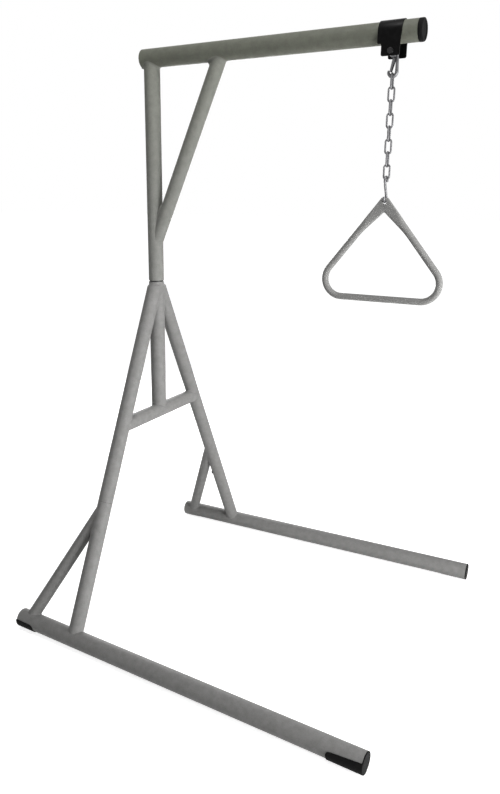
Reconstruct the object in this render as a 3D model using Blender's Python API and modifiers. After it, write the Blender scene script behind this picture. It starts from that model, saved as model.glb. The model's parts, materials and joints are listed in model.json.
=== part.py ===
"""Freestanding trapeze: a tubular stand with a boom, and a hand grip hung from it by a chain.

Frame, in metres: +X runs forward along the boom, +Y to the left, +Z up. The origin is on the
floor under the middle of the stand's length. The boom, the chain and the grip hang in the
plane y = 0, and the two halves of the base mirror each other across it.
"""
import math

import bmesh
import bpy
from mathutils import Matrix, Vector

# Fits
SEAT = 0.0003            # gap between pieces that touch or slide on each other
TUBE_SIDES = 24          # flats round every tube and round part of the stand
SMALL_SIDES = 16         # flats round washers, buttons and bored holes

# Base rails, one on each side, toed out towards the front
RAIL_OD = 0.057
RAIL_WALL = 0.002
RAIL_SPACING = 1.040     # between the rail axes, level with the legs
RAIL_BACK = 0.230        # tube end behind the leg
RAIL_FRONT = 0.976       # tube end ahead of the leg
TOE_OUT = math.radians(2.0)
SOLE = 0.002             # rubber under a rail

# Legs, cross bar and post of the A-shaped frame
LEG_OD = 0.048
LEG_WALL = 0.0025
LEG_LEAN = 0.015         # how far ahead of the mast the legs meet the rails
APEX_Z = 1.116           # height at which the leg axes meet the mast axis
SEAM_Z = 0.4265          # height of the joint in each leg
SEAM_GAP = 0.0006
LEG_TOP_TRIM = 0.013     # the legs stop this far under the post's top
CROSS_OD = 0.048
CROSS_Z = 0.657
POST_OD = 0.051
POST_WALL = 0.0025
POST_TOP = 1.108
MAST_GAP = 0.004         # open joint between post and mast

# Braces between the legs and the rails' rear ends
BRACE_OD = 0.040
BRACE_WALL = 0.002
BRACE_LEG_Z = 0.415      # height at which brace and leg axes meet
BRACE_REACH = 0.196      # from the leg to the brace, along the rail

# Mast, boom and their brace
MAST_OD = 0.051
MAST_WALL = 0.0025
BOOM_OD = 0.057
BOOM_WALL = 0.0025
BOOM_Z = 1.802
BOOM_TAIL = 0.031        # tube end behind the mast axis
BOOM_REACH = 0.841       # tube end ahead of the mast axis
MAST_BRACE_OD = 0.044
MAST_BRACE_WALL = 0.002
MAST_BRACE_X = 0.254     # where the brace axis meets the boom axis
MAST_BRACE_Z = 1.232     # where the brace axis meets the mast axis

# Inner tubes that join the legs and the mast, each held by a sprung button
INSERT_WALL = 0.003
LEG_INSERT_UP = 0.060
LEG_INSERT_DOWN = 0.190
MAST_INSERT_UP = 0.150
MAST_INSERT_DOWN = 0.130
LEG_BUTTON_DROP = 0.150  # button below the leg joint
MAST_BUTTON_DROP = 0.055
BUTTON_D = 0.012
BUTTON_PROUD = 0.0035
BUTTON_DOME = 0.0028
BUTTON_TRAVEL = 0.0065
BUTTON_FLANGE_D = 0.0155
BUTTON_FLANGE = 0.0014
HOLE_START = 0.008       # a button hole is cut from here, off the tube axis
HOLE_END = 0.040
LEAF_WIDTH = 0.013
LEAF_LENGTH = 0.048      # from the button to the fold of the V
LEAF_THICK = 0.0008
LEAF_FOLD_R = 0.003
LEAF_RISE = 0.004        # how far the free arm stands off the wall where it bends
LEAF_BEND = 0.0168       # from the button to that bend
LEAF_FLAT = 0.0106       # from the button to where the arm lies on the wall

# Rubber and plastic ends of the tubes
PLUG_DEPTH = 0.024
RIB_HEIGHT = 0.0012
RIB_COUNT = 2
PLUG_SHOULDER = 0.004
FOOT_WALL = 0.0022       # thickness of the tongue under a rail
FRONT_FLANGE = 0.0035
REAR_LIP = 0.002
FRONT_TONGUE = 0.100
REAR_TONGUE = 0.0735
TONGUE_INNER_DEG = -104.0
FRONT_TONGUE_TOP = (20.0, 32.0)   # degrees above the tube's side, at the tongue's end and at the end plate
REAR_TONGUE_TOP = (9.0, 12.0)
TONGUE_CORNER = 0.012
FOOT_CHAMFER = 0.0008
LIP_INSET_DEG = 3.0      # the end plate stops this far inside the tongue's sides
LIP_OVERLAP = 0.0013     # how far it runs into the tongue
LIP_SINK = 0.0005        # its face lies this far under the plug's face
BOOM_CAP_FLANGE = 0.012
BOOM_CAP_ROUND = 0.0035
BOOM_CAP_DISH = 0.0022
BOOM_CAP_DISH_R = 0.0215

# Clamp that straddles the boom and carries the chain
STRAP_THICK = 0.0025
STRAP_REAR = 0.0365      # from the bolt back to the strap's rear edge
STRAP_FRONT = 0.0275     # from the bolt to the strap's front edge
CHEEK_REAR = 0.0255      # the same, at the foot of the cheeks
CHEEK_FRONT = 0.0245
CHEEK_DROP = 0.0595      # cheek foot below the boom axis
STEP_DROP = 0.029        # where the strap narrows to its cheeks, below the boom axis
STEP_ROUND = 0.0035
CHEEK_CORNER = 0.005
STRAP_SPARE = 0.005      # stock round the strap's outline before it is trimmed
CLAMP_SETBACK = 0.066    # bolt and chain behind the boom's end
BOLT_DROP = 0.0475       # bolt below the boom axis
BOLT_D = 0.008
BOLT_HEAD_FLATS = 0.013
BOLT_HEAD = 0.0053
BOLT_HOLE_D = 0.0088
HEX_CHAMFER = 0.0006
NUT_HEIGHT = 0.0065
NUT_COLLAR = 0.0018
NUT_COLLAR_D = 0.0114
NUT_COLLAR_SINK = 0.002  # how far the collar runs down into the nut
WASHER_D = 0.016
WASHER_THICK = 0.0016
THREAD_END = 0.003       # bolt end beyond the nut
SPACER_D = 0.014

# Hook with a safety latch
EYE_R = 0.0084           # centreline radius of the eye
HOOK_WIRE_R = 0.0040
BOWL_WIRE_R = 0.0050
TIP_WIRE_R = 0.0036
BOWL_R = 0.011           # centreline radius of the bowl
BOWL_X = -0.0005         # bowl centre against the bolt
BOWL_DROP = 0.048        # bowl centre below the bolt
TIP_RISE = 0.0035
TIP_OUT = 0.0004
NECK = ((-0.0007, 0.002), (0.0004, -0.006), (0.0013, -0.014))  # shank below the eye, against the eye's front
NECK_DROP = 0.022        # the shank stands upright from here down
SHANK_DROP = 0.036
SWELL_DROP = 0.028       # it swells from here down
HOOK_SIDES = 10
LATCH_PIVOT_X = 0.0022
LATCH_PIVOT_DROP = 0.0175
BOSS_R = 0.0034
BOSS_HALF = 0.0025
BOSS_ROOT_X = 0.009      # where the boss ends inside the shank
BOSS_ROOT_SPREAD = (0.002, 0.001)
LATCH_PIN_D = 0.0026
LATCH_PIN_HEAD = 0.0008
LATCH_PIN_SPARE = 0.0006  # between an ear and a head of the pin
LATCH_HALF = 0.0062      # half width over the latch's ears
LATCH_SHEET = 0.0011
LATCH_HEAD_R = 0.0036    # round end of an ear
LATCH_DEPTH = 0.0036     # depth of the channel
LATCH_LAP = 0.003        # how far the latch laps inside the hook's tip
SPRING_WIRE = 0.0006
SPRING_R = 0.0021
SPRING_TAIL_DEG = 210.0  # direction of the coil's radius where the tail against the hook leaves
SPRING_TAILS = (0.0045, 0.003)

# Chain
CHAIN_WIRE = 0.005
CHAIN_WIDTH = 0.021
CHAIN_PITCH = 0.033
CHAIN_LINKS = 8
CHAIN_BEND_STEPS = 6

# Open S-hook between chain and grip
S_WIRE = 0.007
S_LOOP_R = 0.01005
S_LENGTH = 0.0665        # between the wire centres of its two ends
S_OPEN_TAIL = 0.004

# Triangular hand grip
GRIP_OD = 0.019
GRIP_WIDTH = 0.352
GRIP_BEND_R = 0.0505     # centreline radius of the lower corners
GRIP_DROP = 0.26925      # from the S-hook's wire to the middle of the bar
GRIP_APEX_RISE = 0.00715 # where the arms' middles would meet, above the S-hook's wire
GRIP_FLARE_DEG = 7.8     # an arm's inner edge against its outer one, where it is flattened
GRIP_FLARE_LENGTH = 0.127
GRIP_FLARE_EASE = 0.030  # length over which the flare sets in
GRIP_FLAT_HALF = 0.004   # half thickness of the flattened top
GRIP_FLAT_START = 0.090  # from the apex to where the flattening starts
GRIP_FLAT_RUN = 0.060    # length over which the bar goes from round to flat
GRIP_TOP = 0.01125       # top edge above the S-hook's wire
GRIP_HOLE_D = 0.011
GRIP_HOLE_CHAMFER = 0.0012
GRIP_APEX_ROUND = 0.005  # inner corner between the arms
GRIP_SIDES = 16
GRIP_HOLE_SIDES = 20

# Places worked out from the sizes above
CHAIN_X = BOOM_REACH - CLAMP_SETBACK
RAIL_R = RAIL_OD / 2
RAIL_Z = RAIL_R + SOLE
FOOT_R = RAIL_R + SEAT + FOOT_WALL
HALF_SPACING = RAIL_SPACING / 2
END_RADIUS = RAIL_R + SEAT
STAND_FRONT = LEG_LEAN + (RAIL_FRONT + FRONT_FLANGE) * math.cos(TOE_OUT) + FOOT_R * math.sin(TOE_OUT)
STAND_BACK = LEG_LEAN - (RAIL_BACK + REAR_LIP) * math.cos(TOE_OUT) - FOOT_R * math.sin(TOE_OUT)
MAST_X = -(STAND_FRONT + STAND_BACK) / 2
HALF_STRAP = BOOM_OD / 2 + SEAT
LINK_HALF = (CHAIN_PITCH + CHAIN_WIRE + SEAT) / 2
LINK_BEND = (CHAIN_WIDTH - CHAIN_WIRE) / 2
AXIS_X = Vector((1, 0, 0))
AXIS_Y = Vector((0, 1, 0))
AXIS_Z = Vector((0, 0, 1))


# Scene, materials and objects

def clear_scene():
    for old in list(bpy.data.objects):
        bpy.data.objects.remove(old, do_unlink=True)


def new_collection(name):
    made = bpy.data.collections.new(name)
    bpy.context.scene.collection.children.link(made)
    return made


def new_material(name, colour, roughness, metallic=0.0):
    made = bpy.data.materials.new(name)
    made.use_nodes = True
    shader = made.node_tree.nodes["Principled BSDF"]
    shader.inputs["Base Color"].default_value = (*colour, 1.0)
    shader.inputs["Roughness"].default_value = roughness
    shader.inputs["Metallic"].default_value = metallic
    return made


clear_scene()
PARTS = new_collection("freestanding_trapeze")
CUTTERS = new_collection("cutters")
SILVER_VEIN = new_material("silver_vein_coat", (0.24, 0.24, 0.22), 0.5, 0.3)
GRIP_COAT = new_material("grip_coat", (0.27, 0.27, 0.25), 0.5, 0.3)
ZINC = new_material("zinc_plate", (0.62, 0.63, 0.64), 0.32, 0.95)
BLACK_COAT = new_material("black_coat", (0.012, 0.012, 0.012), 0.45)
RUBBER = new_material("black_rubber", (0.014, 0.014, 0.014), 0.7)
BLACK_PLASTIC = new_material("black_plastic", (0.016, 0.016, 0.017), 0.5)


def add_part(name, data, material, parent, place=(0, 0, 0), turn=None):
    """Put a mesh or curve in the parts collection under its node's name."""
    made = bpy.data.objects.new(name, data)
    data.materials.append(material)
    PARTS.objects.link(made)
    made.parent = parent
    made.location = place
    if turn is not None:
        made.rotation_mode = "QUATERNION"
        made.rotation_quaternion = turn
    return made


def add_axis(name, parent, place):
    """An empty on a joint's axis, which carries the pieces that turn or slide there."""
    made = bpy.data.objects.new(name, None)
    PARTS.objects.link(made)
    made.parent = parent
    made.location = place
    made.empty_display_size = 0.02
    return made


def finish_mesh(bm, name, closed=True):
    """Write a bmesh out as a smooth-shaded mesh with sharp edges kept."""
    if closed:
        bmesh.ops.recalc_face_normals(bm, faces=bm.faces)
    mesh = bpy.data.meshes.new(name)
    bm.to_mesh(mesh)
    bm.free()
    mesh.shade_smooth()
    mesh.set_sharp_from_angle(angle=math.radians(40))
    return mesh


def boolean(target, tool, operation="DIFFERENCE"):
    change = target.modifiers.new(operation.lower(), "BOOLEAN")
    change.operation = operation
    change.solver = "EXACT"
    change.object = tool


def as_tool(made):
    """Keep an object as a cutting or joining tool, out of the parts."""
    for held in list(made.users_collection):
        held.objects.unlink(made)
    CUTTERS.objects.link(made)
    made.hide_render = True
    made.display_type = "WIRE"
    return made


def solid_from_curve(curve_object):
    """Replace a curve object by a closed mesh object, so that it can be cut or joined."""
    depsgraph = bpy.context.evaluated_depsgraph_get()
    depsgraph.update()
    mesh = bpy.data.meshes.new_from_object(curve_object.evaluated_get(depsgraph))
    bm = bmesh.new()
    bm.from_mesh(mesh)
    bmesh.ops.remove_doubles(bm, verts=bm.verts, dist=0.00001)
    bmesh.ops.recalc_face_normals(bm, faces=bm.faces)
    bm.to_mesh(mesh)
    bm.free()
    name = curve_object.name
    made = bpy.data.objects.new(name + "_solid", mesh)
    for held in curve_object.users_collection:
        held.objects.link(made)
    made.parent = curve_object.parent
    made.matrix_basis = curve_object.matrix_basis.copy()
    bpy.data.objects.remove(curve_object, do_unlink=True)
    made.name = name
    return made


# Shapes that many pieces share

def aim(start, end):
    return (Vector(end) - Vector(start)).to_track_quat("Z", "Y")


def cylinder_mesh(name, radius, length, sides, closed):
    """A cylinder that stands on its own origin."""
    bm = bmesh.new()
    bmesh.ops.create_cone(bm, cap_ends=closed, segments=sides, radius1=radius, radius2=radius, depth=length)
    bmesh.ops.translate(bm, verts=bm.verts, vec=(0, 0, length / 2))
    return finish_mesh(bm, name)


def tube(name, start, end, outer, wall, parent, material=SILVER_VEIN):
    """An open-ended tube between two points on its axis, with its wall turned inwards."""
    length = (Vector(end) - Vector(start)).length
    mesh = cylinder_mesh(name, outer / 2, length, TUBE_SIDES, closed=False)
    made = add_part(name, mesh, material, parent, start, aim(start, end))
    shell = made.modifiers.new("wall", "SOLIDIFY")
    shell.thickness = wall
    shell.offset = -1
    return made


def rod_tool(name, start, end, radius, parent, reach=0.0, sides=TUBE_SIDES):
    """A solid round tool along an axis, longer than it by reach at both ends."""
    start = Vector(start)
    end = Vector(end)
    along = (end - start).normalized() * reach
    mesh = cylinder_mesh(name, radius, (end - start).length + 2 * reach, sides, closed=True)
    return as_tool(add_part(name, mesh, BLACK_COAT, parent, start - along, aim(start, end)))


def box_tool(name, low, high, parent):
    bm = bmesh.new()
    bmesh.ops.create_cube(bm, size=1.0)
    size = Vector(high) - Vector(low)
    middle = (Vector(high) + Vector(low)) / 2
    bmesh.ops.scale(bm, verts=bm.verts, vec=size)
    bmesh.ops.translate(bm, verts=bm.verts, vec=middle)
    return as_tool(add_part(name, finish_mesh(bm, name), BLACK_COAT, parent))


def turned(name, profile, material, parent, place, turn=None, sides=TUBE_SIDES, looped=False):
    """A solid of revolution about its own Z axis from (radius, height) points, top to bottom."""
    mesh = bpy.data.meshes.new(name)
    points = [(radius, 0.0, height) for radius, height in profile]
    edges = [(index, index + 1) for index in range(len(points) - 1)]
    if looped:
        edges.append((len(points) - 1, 0))
    mesh.from_pydata(points, edges, [])
    made = add_part(name, mesh, material, parent, place, turn)
    spin = made.modifiers.new("turn", "SCREW")
    spin.steps = sides
    spin.render_steps = sides
    spin.use_merge_vertices = True
    spin.merge_threshold = 0.00001
    spin.use_smooth_shade = True
    return made


def ring(name, inner, outer, length, material, parent, place, turn=None, sides=SMALL_SIDES):
    """A washer or spacer: a wall turned about its own Z axis and centred on its origin."""
    half = length / 2
    wall = ((outer, half), (outer, -half), (inner, -half), (inner, half))
    return turned(name, wall, material, parent, place, turn, sides, looped=True)


def wire(name, points, radius, material, parent, place=(0, 0, 0), cyclic=False, sides=10, taper=None):
    """A round wire or bar along a list of points, with an optional radius factor at each."""
    curve = bpy.data.curves.new(name, "CURVE")
    curve.dimensions = "3D"
    curve.bevel_depth = radius
    curve.bevel_resolution = sides // 2 - 2
    curve.use_fill_caps = True
    spline = curve.splines.new("POLY")
    spline.points.add(len(points) - 1)
    for index, point in enumerate(points):
        spline.points[index].co = (*point, 1.0)
        spline.points[index].radius = taper[index] if taper else 1.0
    spline.use_cyclic_u = cyclic
    return add_part(name, curve, material, parent, place)


def plate(name, outline, thickness, material, parent, place=(0, 0, 0)):
    """A flat piece cut to an outline in the X-Z plane, centred on y = 0."""
    curve = bpy.data.curves.new(name, "CURVE")
    curve.dimensions = "2D"
    curve.fill_mode = "BOTH"
    curve.extrude = thickness / 2
    spline = curve.splines.new("POLY")
    spline.points.add(len(outline) - 1)
    for index, (across, up) in enumerate(outline):
        spline.points[index].co = (across, up, 0.0, 1.0)
    spline.use_cyclic_u = True
    upright = Matrix.Rotation(math.radians(90), 4, "X").to_quaternion()
    return solid_from_curve(add_part(name, curve, material, parent, place, upright))


def arc(centre, radius, start_deg, end_deg, steps):
    """Points along an arc, both ends included, as (across, up) pairs."""
    points = []
    for step in range(steps + 1):
        angle = math.radians(start_deg + (end_deg - start_deg) * step / steps)
        points.append((centre[0] + radius * math.cos(angle), centre[1] + radius * math.sin(angle)))
    return points


def rounded(corners, radii, steps=4):
    """An outline with each corner replaced by an arc of its own radius."""
    outline = []
    count = len(corners)
    for index, corner in enumerate(corners):
        here = Vector(corner)
        before = (Vector(corners[index - 1]) - here).normalized()
        after = (Vector(corners[(index + 1) % count]) - here).normalized()
        radius = radii[index]
        if radius == 0:
            outline.append(tuple(here))
            continue
        half = before.angle(after) / 2
        bisector = (before + after).normalized()
        centre = here + bisector * (radius / math.sin(half))
        first = here + before * (radius / math.tan(half)) - centre
        last = here + after * (radius / math.tan(half)) - centre
        turn = first.angle_signed(last)
        for step in range(steps + 1):
            spun = Matrix.Rotation(-turn * step / steps, 2) @ first
            outline.append(tuple(centre + spun))
    return outline


# Places on the stand

def leg_foot(side):
    return Vector((LEG_LEAN, side * HALF_SPACING, RAIL_Z))


def leg_point(side, height):
    """A point on a leg's axis at a height above the floor."""
    apex = Vector((0, 0, APEX_Z))
    foot = leg_foot(side)
    return apex + (foot - apex) * ((APEX_Z - height) / (APEX_Z - RAIL_Z))


def rail_way(side):
    return Vector((math.cos(TOE_OUT), side * math.sin(TOE_OUT), 0))


def rail_point(side, distance):
    """A point on a rail's axis, at a distance ahead of the leg."""
    return leg_foot(side) + rail_way(side) * distance


# Stand

def build_boom(stand):
    tail = Vector((-BOOM_TAIL, 0, BOOM_Z))
    nose = Vector((BOOM_REACH, 0, BOOM_Z))
    tube("boom_tube", tail, nose, BOOM_OD, BOOM_WALL, stand)
    bore = BOOM_OD / 2 - BOOM_WALL - SEAT
    face = BOOM_OD / 2 + SEAT
    profile = [(0.0, BOOM_CAP_FLANGE - BOOM_CAP_DISH), (BOOM_CAP_DISH_R, BOOM_CAP_FLANGE - BOOM_CAP_DISH)]
    profile.append((BOOM_CAP_DISH_R + BOOM_CAP_DISH / 2, BOOM_CAP_FLANGE))
    centre = (face - BOOM_CAP_ROUND, BOOM_CAP_FLANGE - BOOM_CAP_ROUND)
    profile.extend(arc(centre, BOOM_CAP_ROUND, 90, 0, 4))
    profile.append((face, SEAT))
    profile.extend(plug_profile(bore, SEAT))
    turned("boom_front_cap", profile, RUBBER, stand, nose, aim(tail, nose))
    rear = [(0.0, 0.0)] + plug_profile(bore, 0.0)
    turned("boom_rear_plug", rear, BLACK_PLASTIC, stand, tail, aim(nose, tail))


def plug_profile(radius, top):
    """The barbed shank of a tube plug, from its shoulder down to the axis."""
    profile = [(radius, top), (radius, top - PLUG_SHOULDER), (radius - RIB_HEIGHT, top - PLUG_SHOULDER)]
    pitch = (PLUG_DEPTH - PLUG_SHOULDER) / RIB_COUNT
    for rib in range(RIB_COUNT):
        foot = top - PLUG_SHOULDER - (rib + 1) * pitch
        profile.append((radius, foot + pitch * 0.75))
        profile.append((radius - RIB_HEIGHT, foot))
    profile.append((0.0, top - PLUG_DEPTH))
    return profile


def build_mast(stand):
    foot = Vector((0, 0, POST_TOP + MAST_GAP))
    top = Vector((0, 0, BOOM_Z))
    tail = Vector((-BOOM_TAIL, 0, BOOM_Z))
    nose = Vector((BOOM_REACH, 0, BOOM_Z))
    boom_bite = rod_tool("boom_bite", tail, nose, BOOM_OD / 2 + SEAT, stand, reach=BOOM_OD)
    mast = tube("mast_tube", foot, top, MAST_OD, MAST_WALL, stand)
    boolean(mast, boom_bite)
    mast_bite = rod_tool("mast_bite", foot, top, MAST_OD / 2 + SEAT, stand, reach=MAST_OD)
    low = Vector((0, 0, MAST_BRACE_Z))
    high = Vector((MAST_BRACE_X, 0, BOOM_Z))
    brace = tube("mast_brace", low, high, MAST_BRACE_OD, MAST_BRACE_WALL, stand)
    boolean(brace, mast_bite)
    boolean(brace, boom_bite)
    insert = tube("mast_insert", foot - AXIS_Z * (MAST_INSERT_DOWN + MAST_GAP), foot + AXIS_Z * MAST_INSERT_UP,
                  MAST_OD - 2 * MAST_WALL - 2 * SEAT, INSERT_WALL, stand, ZINC)
    button_place = Vector((0, 0, POST_TOP - MAST_BUTTON_DROP))
    hole = button_hole("mast_button_hole", button_place, -AXIS_X, stand)
    boolean(insert, hole)
    return hole


def build_post(stand, hole):
    base = Vector((0, 0, CROSS_Z))
    top = Vector((0, 0, POST_TOP))
    post = tube("base_post", base, top, POST_OD, POST_WALL, stand)
    bar_bite = rod_tool("cross_bar_bite", leg_point(-1, CROSS_Z), leg_point(1, CROSS_Z), CROSS_OD / 2 + SEAT, stand)
    boolean(post, bar_bite)
    boolean(post, hole)
    post_bite = rod_tool("post_bite", base, top, POST_OD / 2 + SEAT, stand, reach=POST_OD)
    wide = 2 * POST_OD
    top_trim = box_tool("leg_top_trim", (-wide, -wide, POST_TOP - LEG_TOP_TRIM), (wide, wide, APEX_Z + wide), stand)
    return post_bite, top_trim


def build_cross_bar(stand):
    bar = tube("cross_bar", leg_point(-1, CROSS_Z), leg_point(1, CROSS_Z), CROSS_OD, LEG_WALL, stand)
    for side in (-1, 1):
        bite = rod_tool("cross_leg_bite", leg_foot(side), (0, 0, APEX_Z), LEG_OD / 2 + SEAT, stand)
        boolean(bar, bite)


def build_leg(stand, side, word, post_bite, top_trim):
    """One leg in two tubes on an inner tube, its brace, its rail and their rubber."""
    apex = Vector((0, 0, APEX_Z))
    foot = leg_foot(side)
    down = (foot - apex).normalized()
    seam = leg_point(side, SEAM_Z)
    upper = tube("upper_leg_" + word, seam, apex, LEG_OD, LEG_WALL, stand)
    boolean(upper, post_bite)
    boolean(upper, top_trim)
    lower = tube("lower_leg_" + word, foot, seam + down * SEAM_GAP, LEG_OD, LEG_WALL, stand)
    rail_bite = rod_tool("rail_bite_" + word, rail_point(side, -RAIL_BACK), rail_point(side, RAIL_FRONT),
                         RAIL_R + SEAT, stand)
    boolean(lower, rail_bite)
    insert = tube("leg_insert_" + word, seam + down * LEG_INSERT_DOWN, seam - down * LEG_INSERT_UP,
                  LEG_OD - 2 * LEG_WALL - 2 * SEAT, INSERT_WALL, stand, ZINC)
    rearward = Vector((-1, -side, 0))
    outward = (rearward - down * rearward.dot(down)).normalized()
    hole = button_hole("leg_button_hole_" + word, seam + down * LEG_BUTTON_DROP, outward, stand)
    boolean(lower, hole)
    boolean(insert, hole)
    build_button("leg_" + word, seam + down * LEG_BUTTON_DROP, outward, down, LEG_OD, LEG_WALL, stand)
    build_brace(stand, side, word, foot, apex, rail_bite)
    tube("rail_" + word, rail_point(side, -RAIL_BACK), rail_point(side, RAIL_FRONT), RAIL_OD, RAIL_WALL, stand)
    build_foot("front_foot_" + word, rail_point(side, RAIL_FRONT), rail_way(side), side, FRONT_FLANGE,
               FRONT_TONGUE, FRONT_TONGUE_TOP, stand, full_flange=True)
    build_foot("rear_foot_" + word, rail_point(side, -RAIL_BACK), -rail_way(side), side, REAR_LIP,
               REAR_TONGUE, REAR_TONGUE_TOP, stand, full_flange=False)


def build_brace(stand, side, word, foot, apex, rail_bite):
    high = leg_point(side, BRACE_LEG_Z)
    low = rail_point(side, -BRACE_REACH)
    brace = tube("base_brace_" + word, low, high, BRACE_OD, BRACE_WALL, stand)
    leg_bite = rod_tool("leg_bite_" + word, foot, apex, LEG_OD / 2 + SEAT, stand)
    boolean(brace, leg_bite)
    boolean(brace, rail_bite)


# Sprung buttons

def button_hole(name, place, outward, parent):
    inside = place + outward * HOLE_START
    outside = place + outward * HOLE_END
    return rod_tool(name, inside, outside, BUTTON_D / 2 + SEAT, parent, sides=SMALL_SIDES)


def build_button(name, place, outward, down, tube_od, tube_wall, parent):
    """A domed button with a flange inside the inner tube, and the V-shaped spring behind it."""
    bore = tube_od / 2 - tube_wall - SEAT - INSERT_WALL
    flange_top = math.sqrt(bore ** 2 - (BUTTON_FLANGE_D / 2) ** 2) - SEAT
    crown = tube_od / 2 + BUTTON_PROUD
    radius = BUTTON_D / 2
    profile = [(0.0, crown)]
    for step in range(1, 5):
        angle = math.radians(90 * step / 4)
        profile.append((radius * math.sin(angle), crown - BUTTON_DOME * (1 - math.cos(angle))))
    profile.append((radius, flange_top))
    profile.append((BUTTON_FLANGE_D / 2, flange_top))
    profile.append((BUTTON_FLANGE_D / 2, flange_top - BUTTON_FLANGE))
    profile.append((0.0, flange_top - BUTTON_FLANGE))
    axis = add_axis(name + "_button_axis", parent, place)
    axis.rotation_mode = "QUATERNION"
    axis.rotation_quaternion = Matrix((outward.cross(down), down, -outward)).transposed().to_quaternion()
    over = Matrix.Rotation(math.pi, 4, "Y").to_quaternion()
    turned(name + "_button", profile, BLACK_PLASTIC, axis, (0, 0, 0), over, sides=SMALL_SIDES)
    build_leaf(name + "_spring", flange_top - BUTTON_FLANGE - SEAT, bore, axis)


def build_leaf(name, near, bore, axis):
    """A leaf folded to a V: one arm under the button, the other against the far wall."""
    far = -math.sqrt(bore ** 2 - (LEAF_WIDTH / 2) ** 2) + SEAT
    path = [(-BUTTON_FLANGE_D / 2, near), (LEAF_LENGTH - LEAF_FOLD_R, near)]
    path.extend(arc((LEAF_LENGTH - LEAF_FOLD_R, near - LEAF_FOLD_R), LEAF_FOLD_R, 75, -60, 4))
    path.extend([(LEAF_BEND, far + LEAF_RISE), (LEAF_FLAT, far), (0.0, far)])
    bm = bmesh.new()
    half = LEAF_WIDTH / 2
    rows = []
    for across in (-half, half):
        rows.append([bm.verts.new((across, along, -out)) for along, out in path])
    for index in range(len(path) - 1):
        bm.faces.new((rows[0][index], rows[1][index], rows[1][index + 1], rows[0][index + 1]))
    leaf = add_part(name, finish_mesh(bm, name, closed=False), ZINC, axis)
    wall = leaf.modifiers.new("wall", "SOLIDIFY")
    wall.thickness = LEAF_THICK
    wall.offset = 1


# Rubber feet

def tongue_mesh(name, length, tops, flange, side):
    """The curved tongue under a rail's end as a sheet, in the foot's frame: +Z out of the tube."""
    columns = 12
    rows = 5
    inner = RAIL_R + SEAT
    bm = bmesh.new()
    bmesh.ops.create_grid(bm, x_segments=columns, y_segments=rows, size=0.5)
    spread = math.radians(tops[0] - TONGUE_INNER_DEG) * inner
    for vert in bm.verts:
        across = vert.co.x + 0.5
        along = vert.co.y + 0.5
        edge = min(across, 1 - across) * spread
        shortfall = max(0.0, TONGUE_CORNER - edge)
        reach = length - TONGUE_CORNER + math.sqrt(max(0.0, TONGUE_CORNER ** 2 - shortfall ** 2))
        depth = along * reach
        top = tops[1] + (tops[0] - tops[1]) * depth / length
        angle = math.radians(TONGUE_INNER_DEG + across * (top - TONGUE_INNER_DEG))
        vert.co = (side * inner * math.cos(angle), inner * math.sin(angle), flange - depth)
    first = next(iter(bm.faces))
    first.normal_update()
    middle = first.calc_center_median()
    if first.normal.dot(Vector((middle.x, middle.y, 0))) < 0:
        bmesh.ops.reverse_faces(bm, faces=bm.faces)
    return finish_mesh(bm, name, closed=False)


def build_foot(name, place, outward, side, flange, length, tops, parent, full_flange):
    """A plug in the rail's end with a tongue that wraps under and outside the tube."""
    turn = upright_frame(outward)
    lateral = turn @ AXIS_X
    hand = 1 if lateral.y * side > 0 else -1
    bore = RAIL_R - RAIL_WALL - SEAT
    rim = END_RADIUS if full_flange else bore
    profile = [(0.0, flange), (rim - FOOT_CHAMFER, flange), (rim, flange - FOOT_CHAMFER), (rim, SEAT)]
    if full_flange:
        profile.append((bore, SEAT))
    profile.extend(plug_profile(bore, 0.0)[1:])
    foot = turned(name, profile, RUBBER, parent, place, turn)
    tongue = tongue_mesh(name + "_tongue", length, tops, flange, hand)
    sheet = add_part(name + "_tongue", tongue, RUBBER, parent, place, turn)
    wall = sheet.modifiers.new("wall", "SOLIDIFY")
    wall.thickness = FOOT_WALL
    wall.offset = 1
    as_tool(sheet)
    boolean(foot, lip_tool(name, tops[0], flange, hand, parent, place, turn), "UNION")
    boolean(foot, sheet, "UNION")
    far = RAIL_BACK + RAIL_FRONT
    boolean(foot, box_tool(name + "_floor", (-far, -far, -RAIL_OD), (far, far, 0.0), parent))


def lip_tool(name, top, flange, hand, parent, place, turn):
    """The part of a foot's end plate that reaches out to the tongue, as a sector of a disc."""
    bm = bmesh.new()
    low = TONGUE_INNER_DEG + LIP_INSET_DEG
    high = top - LIP_INSET_DEG
    middle = math.radians((low + high) / 2)
    root = RAIL_R / 2
    outline = [(root * math.cos(middle), root * math.sin(middle))]
    outline.extend(arc((0.0, 0.0), END_RADIUS + LIP_OVERLAP, low, high, 14))
    verts = [bm.verts.new((hand * across, up, SEAT)) for across, up in outline]
    face = bm.faces.new(verts)
    grown = bmesh.ops.extrude_face_region(bm, geom=[face])
    raised = [item for item in grown["geom"] if isinstance(item, bmesh.types.BMVert)]
    bmesh.ops.translate(bm, verts=raised, vec=(0, 0, flange - LIP_SINK - SEAT))
    made = add_part(name + "_lip", finish_mesh(bm, name + "_lip"), RUBBER, parent, place, turn)
    return as_tool(made)


def upright_frame(outward):
    """A turn whose Z axis points out of a tube's end and whose Y axis points up."""
    across = AXIS_Z.cross(outward).normalized()
    return Matrix((across, AXIS_Z, outward)).transposed().to_quaternion()


# Boom clamp

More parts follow.
